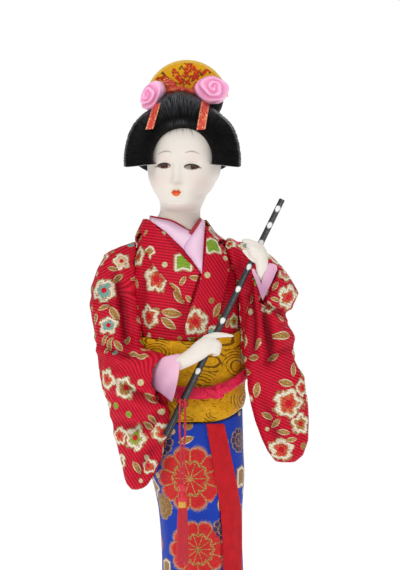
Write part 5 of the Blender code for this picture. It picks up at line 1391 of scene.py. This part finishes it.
add_piece("inner_collar", under_collar_mesh(), satin("painted_satin", 0.04))
cuff_satin = satin("cuff_satin", 0.12)
cuff_right = cuff_mesh()
paint_cuff(cuff_right, -11.5, 165.5, (0.62, 0.78))
add_piece("cuff_right", cuff_right, cuff_satin)
cuff_left = raised_cuff_mesh()
paint_cuff(cuff_left, 26.2, 202.5, (-0.35, 0.94))
add_piece("cuff_left", cuff_left, cuff_satin)

# The hands

RIGHT_HAND = [
    # each run: x, y, z and radius at every joint
    [(-9.0, -23.6, 169.9, 2.1), (-5.0, -26.0, 171.6, 2.6), (0.2, -28.2, 174.6, 3.1),
     (3.8, -28.9, 177.4, 3.5),
     (6.0, -29.0, 179.0, 3.1)],
    [(5.0, -28.9, 180.6, 1.7), (8.2, -29.2, 182.0, 1.3), (11.2, -28.9, 182.2, 0.95),
     (14.9, -28.4, 181.9, 0.5)],
    [(6.2, -29.8, 179.0, 1.9), (8.8, -29.9, 179.0, 1.5), (9.7, -28.4, 177.9, 1.2),
     (8.6, -26.4, 176.8, 0.8)],
    [(5.8, -29.8, 177.8, 1.9), (8.6, -29.9, 177.6, 1.4), (9.6, -28.6, 176.6, 1.1),
     (8.4, -26.8, 175.8, 0.8)],
    [(5.2, -29.5, 176.8, 1.8), (8.2, -29.7, 176.5, 1.3), (9.3, -28.6, 175.6, 1.05),
     (8.0, -27.0, 174.9, 0.75)],
]
LEFT_HAND = [
    [(25.6, -23.6, 201.2, 0.9), (25.7, -24.9, 204.6, 1.9), (25.9, -26.9, 209.2, 2.4),
     (25.2, -28.2, 212.8, 2.7)],
    [(25.4, -28.2, 214.5, 1.7), (22.8, -28.9, 216.4, 1.2), (20.2, -27.6, 217.4, 0.9),
     (18.8, -26.2, 217.5, 0.6)],
    [(25.4, -28.7, 213.8, 1.7), (22.2, -29.4, 215.2, 1.3), (20.9, -27.5, 215.6, 1.0),
     (21.1, -25.8, 215.5, 0.75)],
    [(25.2, -28.8, 212.7, 1.7), (22.3, -29.3, 213.8, 1.25), (21.1, -27.4, 213.9, 1.0),
     (21.5, -25.6, 213.9, 0.75)],
    [(25.0, -28.4, 211.6, 1.6), (22.6, -28.8, 212.4, 1.2), (21.6, -27.0, 212.5, 0.95),
     (22.0, -25.6, 212.7, 0.7)],
    [(25.6, -26.8, 209.8, 1.7), (22.3, -26.8, 211.0, 1.15), (19.2, -26.9, 213.8, 0.7)],
]


def hand_mesh(runs):
    """A hand of tapered rods, melted together."""
    shape = bmesh.new()
    for run in runs:
        for x, y, z, radius in curve_through(run, np.linspace(0.0, len(run) - 1.0, 10 * len(run))):
            place = Matrix.Translation(Vector(metres((x, y, z))))
            bmesh.ops.create_icosphere(shape, subdivisions=3, radius=radius * MM, matrix=place)
    rods = bpy.data.meshes.new("rods")
    shape.to_mesh(rods)
    shape.free()
    return softened(rods, 0.26, 5)


skin_finish = porcelain("skin", SKIN, 0.07)
add_piece("hand_right", hand_mesh(RIGHT_HAND), skin_finish)
add_piece("hand_left", hand_mesh(LEFT_HAND), skin_finish)

# The wig

HAIR_MIDDLE = np.array((-4.0, 248.0))
WING_LOW = math.radians(-7.0)
WING_HIGH = math.radians(187.0)
HAIR_RINGS = [
    # radius: fixed part, share of the reach, share of the top; depth: fixed part, share of the top;
    # under the wings: fixed radius, share of the nape's radius, depth
    (10.9, 0.0, 0.0, -5.0, 0.0, 3.0, 0.0, -2.0), (11.3, 0.0, 0.0, -9.4, 0.0, 3.6, 0.0, -2.4),
    (12.2, 0.0, 0.0, -11.8, -1.6, 4.0, 0.0, -2.2), (14.4, 0.0, 0.0, -13.6, -3.0, 4.2, 0.0, -1.6),
    (17.6, 0.0, 0.0, -13.2, -3.8, 4.5, 0.0, -1.0), (10.608, 0.48, 0.0, -11.6, -2.6, 4.8, 0.0, -0.4),
    (-0.5, 1.0, 0.0, -8.0, -1.0, 5.2, 0.0, 0.3), (0.0, 1.0, 0.0, -4.0, 0.0, 5.5, 0.0, 1.5),
    (0.0, 1.0, -0.8, 1.0, 0.0, 6.5, 0.0, 3.5), (-1.4, 1.0, 0.0, 7.0, 0.0, 9.0, 0.0, 6.5),
    (0.0, 0.78, 0.0, 15.0, 0.0, 0.0, 1.0, 11.5), (0.0, 0.42, 0.0, 20.6, 0.0, 0.0, 0.7, 19.0),
    (0.02, 0.0, 0.0, 22.6, 0.0, 0.02, 0.0, 22.6),
]
KNOT_MIDDLE = (-1.6, 10.6, 273.0)


def valley(x, z):
    """Depth of the two grooves between the front roll and the side puffs."""
    left = bump(x, -16.6 + 0.14 * (z - 261.0), 1.9)
    right = 0.6 * bump(x, 3.4 + 0.20 * (z - 261.0), 1.9)
    return (left + right) * smooth_step(z, 257.0, 262.0)


def roll_reach(degrees):
    """How far the wig's edge lies from its middle over the front roll."""
    return 22.2 + 4.2 * bump(degrees, 94.0, 27.0)


def from_wig(radius, angle):
    """x and z at a distance from the wig's middle."""
    return HAIR_MIDDLE[0] + radius * np.cos(angle), HAIR_MIDDLE[1] + radius * np.sin(angle)


def hair_key(angle, number):
    """One key of the wig's profile at angles of the front view, as points."""
    fixed, by_reach, by_top, depth, deeper, low_fixed, by_low, low_depth = HAIR_RINGS[number]
    degrees = np.degrees(angle)
    reach = roll_reach(degrees) + 0.95 * bump(degrees, 36.0, 16.0) + 0.8 * bump(degrees, 144.0, 16.0)
    top = bump(degrees, 93.0, 42.0)
    low = 12.6 + 0.8 * np.cos(2.0 * angle)
    radius = fixed + by_reach * reach + by_top * top
    depth = depth + deeper * top
    below = np.maximum(WING_LOW - angle, angle - WING_HIGH)
    share = smooth_step(below, 0.0, math.radians(3.0 + 10.0 * max(number - 9, 0)))
    radius = radius + (low_fixed + by_low * low - radius) * share
    depth = depth + (low_depth - depth) * share
    x, z = from_wig(radius, angle)
    groove = 1.7 * valley(x, z) * fade(depth, -3.0, 6.0)
    radius = radius - 0.6 * groove
    depth = depth + 0.8 * groove
    rise = bump(angle, WING_LOW, 0.16) - bump(angle, WING_HIGH, 0.16)
    angle = angle + 0.0022 * (depth + 12.0).clip(0.0) * rise
    x, z = from_wig(radius, angle)
    return np.stack([x, depth, z], -1)


def strand_waves(turn, count, strength):
    """Uneven ridges of combed hair across a turn."""
    total = np.zeros_like(turn)
    for scale in (1.0, 1.7, 2.9):
        sway = 6.0 * np.sin(turn * round(0.11 * count) + scale)
        total += np.sin(turn * round(count * scale) + sway) / scale
    return strength * total


def hair_mesh():
    """The wig: front roll, side puffs and nape puff, with a round knot behind the comb."""
    below = np.concatenate([
        np.linspace(0.3, 3.0, 10), np.linspace(4.5, 161.5, 60), np.linspace(163.0, 165.7, 10),
    ])
    angle = np.concatenate([np.linspace(WING_LOW, WING_HIGH, 340), WING_HIGH + np.radians(below)])
    angle = np.where(angle > math.radians(270.0), angle - math.tau, angle)
    keys = [hair_key(angle, number) for number in range(len(HAIR_RINGS))]
    level = np.linspace(0.0, len(HAIR_RINGS) - 1.0, 96)[:, None]
    grid = np.array([curve_through(keys, row) for row in level[:, 0]])
    lift = strand_waves(angle + 0.015 * np.sin(0.9 * level), 74, 0.075)
    lift *= smooth_step(level, 1.0, 2.5) * fade(level, 10.5, 12.0)
    grid += unit(grid - (HAIR_MIDDLE[0], 2.0, HAIR_MIDDLE[1])) * lift[..., None]
    share, turn = around(np.linspace(-0.999, 0.999, 50), 180)
    swell = np.sqrt(1.0 - share * share)
    x, z = oval(turn, 13.4 * swell, 12.6 * swell, 2.1)
    waves = 1.0 + strand_waves(turn, 48, 0.006)
    knot = np.stack([x * waves, 8.2 * share, z * waves], -1) + KNOT_MIDDLE
    mesh = merged([grid[:, ::-1], knot[:, ::-1]])
    angle = angle[::-1]
    roll = np.stack(np.broadcast_arrays(angle, level, 0.0), -1)
    round_knot = np.stack([turn[:, ::-1], 3.0 * share, np.ones_like(turn)], -1)
    keep(mesh, "combed", np.vstack([roll.reshape(-1, 3), round_knot.reshape(-1, 3)]))
    degrees = np.degrees(angle)
    # painted highlights: lighter strands are painted where the roll's top, an arc below it and the wings'
    # edges catch the light
    glint = bump(level, 5.3, 0.9) * bump(degrees, 95.0, 38.0)
    glint = glint + 0.45 * bump(level, 2.9, 0.35) * bump(degrees, 96.0, 20.0)
    wings = smooth_step(np.abs(degrees - 90.0), 55.0, 75.0)
    glint = glint + wings * (0.60 * bump(level, 6.4, 0.9) + 0.03)
    # painted highlight also round the knot's widest ring
    keep(mesh, "glint", np.append(glint.ravel(), 0.5 * bump(share, 0.1, 0.3).ravel()))
    return mesh


def black_hair(name):
    """Oiled black hair: long fine strands that break the light."""
    finish = Finish(name, (0.004, 0.0035, 0.004), 0.3, 0.05)
    combed = finish.attribute("combed", "Vector")
    fine = finish.noise(1.0, 2.0, combed, 0.6, (210.0, 0.9, 5.0))
    coarse = finish.noise(1.0, 2.0, combed, 0.5, (46.0, 0.55, 5.0))
    # painted highlight streaks, where the wig keeps its glint
    shown = finish.attribute("glint") * fine.below(0.47, 0.10) * (coarse.below(0.55, 0.2) * 0.7 + 0.3)
    strands = finish.mix(fine.below(0.44, 0.06), (0.0010, 0.0009, 0.0010), (0.0045, 0.0040, 0.0045))
    finish.colour(shown, strands, (0.19, 0.20, 0.22))
    finish.link("Roughness", fine * 0.30 + coarse * 0.20 + 0.03)
    finish.relief(fine * 0.7 + coarse, 0.00018)
    return finish.material


hair = hair_mesh()
add_piece("hair", hair, black_hair("black_hair"))

# What the wig wears

COMB_MIDDLE = (-2.3, 270.6)
COMB_RADIUS = 15.1
COMB_FOOT = 272.4
COMB_FACE = 0.16
COMB_SECTION = [
    # share of the radius, depth: the raised rim, round to the back
    (0.95, COMB_FACE), (0.965, 0.14), (0.975, 0.08), (0.984, 0.05), (0.992, 0.10), (1.0, 0.5), (1.0, 1.1),
    (0.97, 1.4), (0.02, 1.4),
]
TWIG_BROWN = (0.015, 0.008, 0.006)
COMB_GOLD = (0.80, 0.41, 0.008)
RIM_GOLD = (0.80, 0.52, 0.08)
BLOSSOM_DENSITY = 9
BLOSSOM_RED = (0.62, 0.022, 0.008)
TWIGS = [
    # x and z along each twig
    [(-3.7, 276.4), (-2.5, 277.6), (-1.25, 279.3), (-2.0, 281.0), (-0.5, 283.9)],
    [(-2.5, 277.6), (-5.1, 280.5), (-7.3, 282.9)],
    [(-4.4, 277.0), (-8.3, 278.3), (-11.4, 281.5), (-11.6, 282.6)],
    [(-11.0, 279.9), (-13.8, 279.3)],
    [(-1.25, 279.3), (1.9, 281.7), (2.9, 282.6)],
    [(-0.5, 278.3), (3.4, 281.0), (5.6, 282.6)],
    [(-2.0, 281.0), (-4.4, 283.9)],
]
BLOSSOMS = [
    # middle x and z, radius of the cluster
    (-1.5, 284.4, 1.1), (-2.0, 282.4, 1.3), (0.0, 283.2, 0.9), (-6.3, 280.5, 1.3), (-5.1, 279.0, 1.1),
    (-2.9, 280.5, 1.0), (0.0, 280.0, 1.3), (1.7, 281.7, 1.1), (1.4, 280.0, 1.0), (-1.5, 277.8, 1.0),
    (-4.4, 277.8, 1.0), (-11.2, 279.3, 1.1), (-10.2, 278.6, 0.7), (4.3, 281.7, 0.9), (6.0, 282.5, 0.6),
    (-7.3, 282.4, 0.6), (-13.2, 279.2, 0.5),
]
DARK_BUDS = [
    # x and z
    (-13.6, 278.9), (-12.9, 278.2), (-11.7, 281.3), (-11.2, 280.3), (-7.1, 282.4), (-7.7, 281.6),
    (-4.3, 283.8), (-4.9, 283.0), (5.4, 282.4), (2.9, 281.3), (3.4, 280.6), (-0.4, 284.9), (-2.8, 285.0),
    (6.4, 281.6), (-0.2, 278.4), (-3.4, 278.9),
]
BAND_Y = -1.6
BAND_LOBES = [
    # middle, half sizes, tilt
    ((-8.9, -0.9, 277.0), (3.1, 0.9, 1.9), 148.0), ((1.6, -1.0, 276.0), (2.6, 0.9, 1.7), 62.0),
]
LUMPS = 0.12
RIBBONS = {
    # upper middle x and z, lower middle x and z, half width
    "hair_ribbon_right": (-13.6, 269.4, -16.4, 259.6, 1.45),
    "hair_ribbon_left": (5.0, 270.6, 3.0, 259.4, 1.65),
}
ROSES = {
    # middle x, y and z, direction that it faces, radius, narrowness, lean
    "rose_right": ((-15.5, -6.4, 272.6), (-0.50, -0.84, 0.10), 5.7, 0.70, -0.95),
    "rose_left": ((7.2, -5.6, 274.9), (0.16, -0.96, 0.22), 6.1, 0.90, 0.35),
}
RIBBON_ROUNDS = 30
ROSE_PINK = (0.96, 0.46, 0.70)
# painted shade in the folds' valleys and painted highlight on their crests
ROSE_FOLD_SHADE = (0.84, 0.19, 0.44)
ROSE_EDGE_HIGHLIGHT = (1.0, 0.66, 0.86)


def line_share(x, z, line, width):
    """1 on a line through points, 0 beyond its width."""
    nearest = np.full(len(x), 1e9)
    for (x1, z1), (x2, z2) in zip(line[:-1], line[1:]):
        run_x, run_z = x2 - x1, z2 - z1
        share = np.clip(((x - x1) * run_x + (z - z1) * run_z) / (run_x ** 2 + run_z ** 2), 0.0, 1.0)
        nearest = np.minimum(nearest, np.hypot(x - x1 - share * run_x, z - z1 - share * run_z))
    return fade(nearest, 0.5 * width, 0.5 * width + 0.16)


def comb_mesh():
    """The round comb with its raised rim, painted with plum twigs."""
    rim, depth = curve_through(COMB_SECTION, np.linspace(0.0, len(COMB_SECTION) - 1.0, 26)).T
    face = np.linspace(COMB_SECTION[-1][0], COMB_SECTION[0][0], 60)[:-1]
    share, angle = around(np.append(face, rim), 360)
    y = 0.6 + np.append(np.full(len(face), COMB_FACE), depth)[:, None] + 0.0 * share
    x = COMB_MIDDLE[0] + share * COMB_RADIUS * np.cos(angle)
    z = np.maximum(COMB_MIDDLE[1] + share * COMB_RADIUS * np.sin(angle), COMB_FOOT)
    mesh = grid_mesh(np.stack([x, y, z], -1))
    x, y, z = positions(mesh).T
    reach = np.hypot(x - COMB_MIDDLE[0], z - COMB_MIDDLE[1]) / COMB_RADIUS
    paint = Paint(len(x), COMB_GOLD)
    paint.lay(smooth_step(reach, 0.972, 0.984), RIM_GOLD)
    front = (y < 1.2) & (reach < 0.96)
    for twig in TWIGS:
        paint.lay(line_share(x, z, twig, 0.24) * front, TWIG_BROWN)
    for bud_x, bud_z in DARK_BUDS:
        petal = np.arctan2(z - bud_z, x - bud_x)
        bud = np.hypot(x - bud_x, z - bud_z) / (0.42 + 0.20 * np.cos(3.0 * petal + bud_x))
        paint.lay(fade(bud, 0.8, 1.15) * front, TWIG_BROWN)
    for middle_x, middle_z, radius in BLOSSOMS:
        for _ in range(int(BLOSSOM_DENSITY * radius)):
            turn, away = RANDOM.uniform(0.0, math.tau), radius * math.sqrt(RANDOM.uniform(0.0, 1.0))
            right, up = x - middle_x - away * math.cos(turn), z - middle_z - away * math.sin(turn)
            size = 0.36 + 0.10 * np.cos(5.0 * np.arctan2(up, right) + turn)
            shade = RANDOM.uniform(0.7, 1.1)
            dot = fade(np.hypot(right, up), size, size + 0.14) * front
            paint.lay(dot, (BLOSSOM_RED[0] * shade, BLOSSOM_RED[1] * shade, BLOSSOM_RED[2]))
    paint.keep(mesh)
    return mesh


def glitter(name, ground, flakes, bordered=False):
    """Cloth with metal flakes that catch the light."""
    finish = Finish(name, ground, 0.4)
    flake = finish.noise(2300.0, 1.0)
    fine = finish.noise(5200.0, 1.0)
    gold_share = 0.36 if bordered else 0.38
    share = flake.below(gold_share, 0.06).highest(fine.below(gold_share - 0.10, 0.05))
    if bordered:
        share = share.highest(finish.attribute("border") * flake.below(0.49, 0.08))
    finish.colour(share, ground, flakes)
    finish.link("Metallic", share * 0.7)
    finish.link("Roughness", share * -0.2 + 0.5)
    finish.relief(flake + fine * 0.5, 0.00022)
    return finish.material


def blob(middle, half, tilt):
    """A lumpy flattened ball: half sizes in x, y and z, tilted in the front view."""
    share, turn = around(np.linspace(-0.995, 0.995, 36), 70)
    lumps = 1.0 + LUMPS * np.sin(3.0 * turn + 4.0 * share) * np.cos(5.0 * share)
    swell = np.sqrt(1.0 - share * share) * lumps
    x, z = tipped(half[0] * share, half[2] * np.sin(turn) * swell, tilt)
    return np.stack([x, -half[1] * np.cos(turn) * swell, z], -1) + middle


def rod(points, radius, sides):
    """A round rod through points."""
    along = unit(np.gradient(points, axis=0))
    side = unit(np.cross(along, (0.0, -1.0, 0.0)))
    other = np.cross(along, side)
    turn = turns(sides)[None, :, None]
    reach = radius[:, None, None]
    return points[:, None] + side[:, None] * reach * np.cos(turn) + other[:, None] * reach * np.sin(turn)


def band_mesh():
    """The glittering band at the comb's foot, with a bow's two lobes."""
    degrees = np.linspace(66.0, 120.0, 120)
    angle = np.radians(degrees)
    reach = roll_reach(degrees) + 0.6
    lumps = 1.25 + 0.22 * np.sin(16.0 * angle) + 0.12 * np.sin(41.0 * angle)
    x, z = from_wig(reach, angle)
    tube = rod(np.stack([x, np.full(len(x), BAND_Y), z], -1), lumps, 26)
    return merged([tube, *(blob(*lobe) for lobe in BAND_LOBES)])


def ribbon_mesh(surface, upper_x, upper_z, lower_x, lower_z, half_width):
    """A brocade tab that lies over the front roll."""
    steps, width = np.linspace(0.0, 1.0, STRIP_STEPS), np.linspace(-1.0, 1.0, STRIP_SIDES)
    share, side = np.meshgrid(steps, width, indexing="ij")
    x = upper_x + (lower_x - upper_x) * share + side * half_width
    z = upper_z + (lower_z - upper_z) * share + 0.12 * side
    depth = np.array([[front_of([surface], *place) for place in zip(*row)] for row in zip(x, z)])
    drawn_tight(depth, RIBBON_ROUNDS, False)
    front = np.stack([x, depth - 1.0 - 0.12 * (1.0 - side ** 2), z], -1)
    back = np.stack([x, depth + 0.3, z], -1)[:, ::-1]
    mesh = merged([np.concatenate([front, back], 1)])
    keep(mesh, "border", np.tile(smooth_step(np.abs(np.tile(width, 2)), 0.55, 0.80), STRIP_STEPS))
    return mesh


def rose_mesh(middle, facing, radius, narrow, lean):
    """A satin rose: one long fold of ribbon that winds in to the middle."""
    share, angle = around(np.linspace(1.0, 0.01, 110), 170)
    wobble = 0.16 * np.sin(2.0 * angle + 5.0 * share + lean) + 0.08 * np.sin(3.0 * angle - 4.0 * share)
    phase = ((share + 0.36 * wobble) / 0.40 - angle / math.tau) % 1.0
    fold = smooth_step(phase, 0.0, 0.80) * fade(phase, 0.88, 1.0)
    height = 0.60 * radius * (1.0 - share ** 2.2) + 0.22 * radius * fold * smooth_step(share, 0.0, 0.25)
    height[:2] = [[-0.45 * radius], [-0.2 * radius]]
    reach = radius * share * (1.0 + 0.07 * np.cos(2.0 * angle + 1.0) + 0.02 * np.cos(5.0 * angle + lean))
    reach = reach * (1.0 - 0.12 * fold * (1.0 - share))
    axis = unit(np.array(facing))
    side = unit(np.cross(axis, (0.0, 0.0, 1.0)))
    top = np.cross(side, axis)
    side, top = side * math.cos(lean) + top * math.sin(lean), top * math.cos(lean) - side * math.sin(lean)
    out = side * np.cos(angle)[..., None] + narrow * top * np.sin(angle)[..., None]
    mesh = grid_mesh(np.array(middle) + axis * height[..., None] + out * reach[..., None], flip=True)
    # painted shade in the valleys between the folds and painted highlight along their crests
    shade = np.append((1.0 - fold).ravel(), (0.5, 0.5))
    paint = Paint(len(shade), ROSE_PINK)
    paint.lay(0.72 * shade ** 1.5, ROSE_FOLD_SHADE)
    paint.lay(0.4 * smooth_step(1.0 - shade, 0.80, 1.0), ROSE_EDGE_HIGHLIGHT)
    paint.keep(mesh)
    return mesh


painted_comb = grained(
    "painted_comb", None, (0.30, 0.12, 0.01), 0.22, {"scale": 700.0, "detail": 3.0}, (0.2, 0.24), 0.00003, 0.2
)
add_piece("comb", comb_mesh(), painted_comb.material)
add_piece("hair_band", band_mesh(), glitter("red_glitter", (0.56, 0.012, 0.012), (0.85, 0.50, 0.16)))
wig_surface = surface_of(hair)
tab_finish = glitter("red_gold_tab", (0.62, 0.020, 0.014), (0.90, 0.62, 0.30), True)
for tab_name, tab_place in RIBBONS.items():
    add_piece(tab_name, ribbon_mesh(wig_surface, *tab_place), tab_finish)
rose_satin = satin("rose_satin", 0.25)
for rose_name, rose_place in ROSES.items():
    add_piece(rose_name, rose_mesh(*rose_place), rose_satin)

# The flute's hanging cord

CORD_DIAMETER = 0.8
HANGING_Y = -27.6
KNOT_TOP = 126.6
KNOT_X = -3.85
TASSEL_LENGTH = 30.0
STRANDS = {
    # x and z along each strand
    "flute_cord_right": [
        (-4.7, 158.3), (-4.85, 154.0), (-4.9, 148.0), (-4.75, 143.5), (-4.4, 140.0), (-4.4, 133.0),
        (-4.4, 126.9),
    ],
    "flute_cord_left": [
        (-2.9, 158.3), (-2.85, 154.0), (-2.85, 148.0), (-3.0, 143.5), (-3.3, 140.0), (-3.3, 133.0),
        (-3.3, 126.9),
    ],
}


def strand_material():
    """Twisted red cord."""
    finish = Finish("twisted_cord", (0.62, 0.012, 0.03), 0.5)
    twist = finish.along((0.5, 0.0, 1.0), 0.0007)
    finish.colour(twist * 0.5 + 0.5, (0.40, 0.005, 0.015), (0.72, 0.03, 0.06))
    finish.relief(twist, 0.00012)
    return finish.material


def add_strand(name, route, material):
    """One hanging strand as a tube; gives its piece, its upper end and its real length."""
    data = bpy.data.curves.new(name, "CURVE")
    data.dimensions = "3D"
    data.bevel_depth = 0.5 * CORD_DIAMETER * MM
    data.bevel_resolution = 3
    data.use_fill_caps = True
    steps = curve_through(route, np.linspace(0.0, len(route) - 1.0, 31))
    points = metres([(x, HANGING_Y, z) for x, z in steps])
    spline = data.splines.new("POLY")
    spline.points.add(len(points) - 1)
    for point, place in zip(spline.points, points):
        point.co = (*place, 1.0)
    data.materials.append(material)
    strand = linked(name + "_look", data)
    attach(strand, "root")
    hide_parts(name)
    length = float(np.linalg.norm(np.diff(points, axis=0), axis=1).sum())
    return strand, points[0], length


cord_finish = strand_material()
strands = {name: add_strand(name, route, cord_finish) for name, route in STRANDS.items()}
tassel_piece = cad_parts["tassel"]
for name, (strand, start, length) in strands.items():
    carried = [tassel_piece] if name == "flute_cord_right" else []

# The flute, its turn of cord and the tassel

FLUTE_TOP = np.array((33.6, -24.0, 233.1))
FLUTE_WAY = unit(np.array((-43.7, 0.0, -88.9)))
FLUTE_LENGTH = 99.1
FLUTE_ROUNDING = 0.4
FLUTE_STEPS = (0.0, 0.05, 0.2, 0.4)
BLACK_PAINT = (0.012, 0.013, 0.016)
STREAK_HIGHLIGHT = (0.22, 0.23, 0.25)
DOT_WHITE = (0.86, 0.86, 0.84)
TIE_DISTANCE = 85.0
TIE_RADIUS = 2.05
TIE_THREAD = 0.42
TIE_SHIFTS = (-0.36, 0.36)
DOTS = [4.2, 11.1, 18.5, 28.5, 37.8, 51.0, 72.1]
TASSEL = [
    # share of the radius, share of the length
    (0.20, 0.000), (0.52, 0.012), (0.66, 0.045), (0.52, 0.085), (0.40, 0.105), (0.62, 0.130), (0.74, 0.180),
    (0.70, 0.220), (0.62, 0.240), (0.66, 0.270), (0.62, 0.300), (0.74, 0.340), (0.86, 0.480), (0.95, 0.750),
    (1.00, 0.970), (0.86, 1.000),
]
TASSEL_RADIUS = 2.3
SILK_RED = (0.66, 0.012, 0.03)
SILK_GAP_SHADE = (0.20, 0.002, 0.006)
GOLD_THREAD = (0.72, 0.42, 0.05)


def flute_mesh():
    """The tapered stick with its painted dots."""
    ends = np.array(FLUTE_STEPS)
    run = np.concatenate([ends, np.linspace(0.6, FLUTE_LENGTH - 0.6, 330), FLUTE_LENGTH - ends[::-1]])
    short = (1.0 - np.minimum(run, FLUTE_LENGTH - run) / FLUTE_ROUNDING).clip(0.0)
    radius = (1.1 + 0.3 * run / FLUTE_LENGTH) * (0.72 + 0.28 * np.sqrt(np.clip(1.0 - short ** 2, 0.0, 1.0)))
    mesh = grid_mesh(rod(FLUTE_TOP + FLUTE_WAY * run[:, None], radius, 30))
    away = positions(mesh) - FLUTE_TOP
    along = away @ FLUTE_WAY
    side = away[:, 0] * FLUTE_WAY[2] - away[:, 2] * FLUTE_WAY[0]
    front = away[:, 1] < 0.0
    paint = Paint(len(away), BLACK_PAINT)
    fleck = RANDOM.uniform(0.0, 1.0, len(away)) < 0.35
    # painted highlight: a flecked grey streak down the front of the stick
    paint.lay(fade(np.abs(side + 0.15), 0.08, 0.30) * front * (0.25 + 0.5 * fleck), STREAK_HIGHLIGHT)
    for place in DOTS:
        past = along - place
        reach = np.hypot(past / (1.22 - 0.16 * np.sign(past)), side / (0.86 - 0.20 * past))
        paint.lay(fade(reach, 0.9, 1.12) * front, DOT_WHITE)
    paint.keep(mesh)
    return mesh


def loop_tube(ring, middle, radius):
    """A twisted tube round a closed ring of points."""
    out = ring - middle
    out = unit(out - (out @ FLUTE_WAY)[:, None] * FLUTE_WAY)
    turn = turns(14)[None, :, None]
    run = np.linspace(0.0, math.tau, len(ring))[:, None, None]
    reach = radius * (1.0 + 0.16 * np.cos(2.0 * turn + 9.0 * run))
    return ring[:, None] + out[:, None] * np.cos(turn) * reach + FLUTE_WAY * np.sin(turn) * reach


def tie_mesh():
    """The turn of twisted cord round the flute, with its small knot in front."""
    middle = FLUTE_TOP + FLUTE_WAY * TIE_DISTANCE
    side = np.cross(FLUTE_WAY, (0.0, -1.0, 0.0))
    turn = np.linspace(0.0, math.tau, 121)[:, None]
    ring = middle + TIE_RADIUS * (side * np.cos(turn) + np.array((0.0, 1.0, 0.0)) * np.sin(turn))
    ring = ring + FLUTE_WAY * 0.25 * np.sin(turn)
    tubes = [loop_tube(ring + FLUTE_WAY * shift, middle, TIE_THREAD) for shift in TIE_SHIFTS]
    return merged([*tubes, blob((-3.9, -26.6, middle[2] - 0.7), (1.15, 0.75, 0.85), -35.0)])


def tassel_mesh():
    """The tassel: knot, head bound with gold, and fringe."""
    wide, down = curve_through(TASSEL, np.linspace(0.0, len(TASSEL) - 1.0, 140)).T[..., None]
    turn = turns(150)[None, :]
    fringe = smooth_step(down, 0.30, 0.34)
    gap = fringe * (1.0 - np.abs(np.sin(19.0 * turn + 1.6 * np.sin(3.0 * turn) + 2.0 * down)))
    bound = smooth_step(down, 0.228, 0.235) * fade(down, 0.300, 0.307)
    radius = TASSEL_RADIUS * wide * (1.0 - 0.10 * gap) * (1.0 + 0.05 * bound * np.sin(down * 560.0))
    radius = radius * (1.0 + 0.14 * fade(down, 0.09, 0.11) * np.sin(2.0 * turn + 60.0 * down))
    z = KNOT_TOP - TASSEL_LENGTH * down - 0.7 * np.sin(11.0 * turn) * smooth_step(down, 0.9, 1.0)
    grid = np.stack([KNOT_X + radius * np.cos(turn), HANGING_Y + radius * np.sin(turn), z], -1)
    mesh = grid_mesh(grid[::-1])
    paint = Paint(len(mesh.vertices), SILK_RED)
    # painted shade in the grooves between the fringe's strands, and the gold thread that binds the head
    for share, colour in ((0.8 * gap, SILK_GAP_SHADE), (bound + 0.0 * gap, GOLD_THREAD)):
        paint.lay(np.append(share[::-1].ravel(), (0.0, 0.0)), colour)
    paint.keep(mesh)
    return mesh


painted_stick = grained(
    "painted_stick", None, (0.05, 0.05, 0.055), 0.12, {"scale": 900.0, "detail": 3.0}, (0.3, 0.2), 0.00004
)
silk_threads = threaded(
    "silk_threads", None, (0.30, 0.004, 0.01), 0.4, {"scale": 2400.0, "stretch": (1.0, 1.0, 0.12)},
    (0.45, 0.2), 0.00010, 0.42,
)
add_piece("flute", flute_mesh(), painted_stick.material)
add_piece("flute_tie", tie_mesh(), cord_finish)
add_piece("tassel", tassel_mesh(), silk_threads)
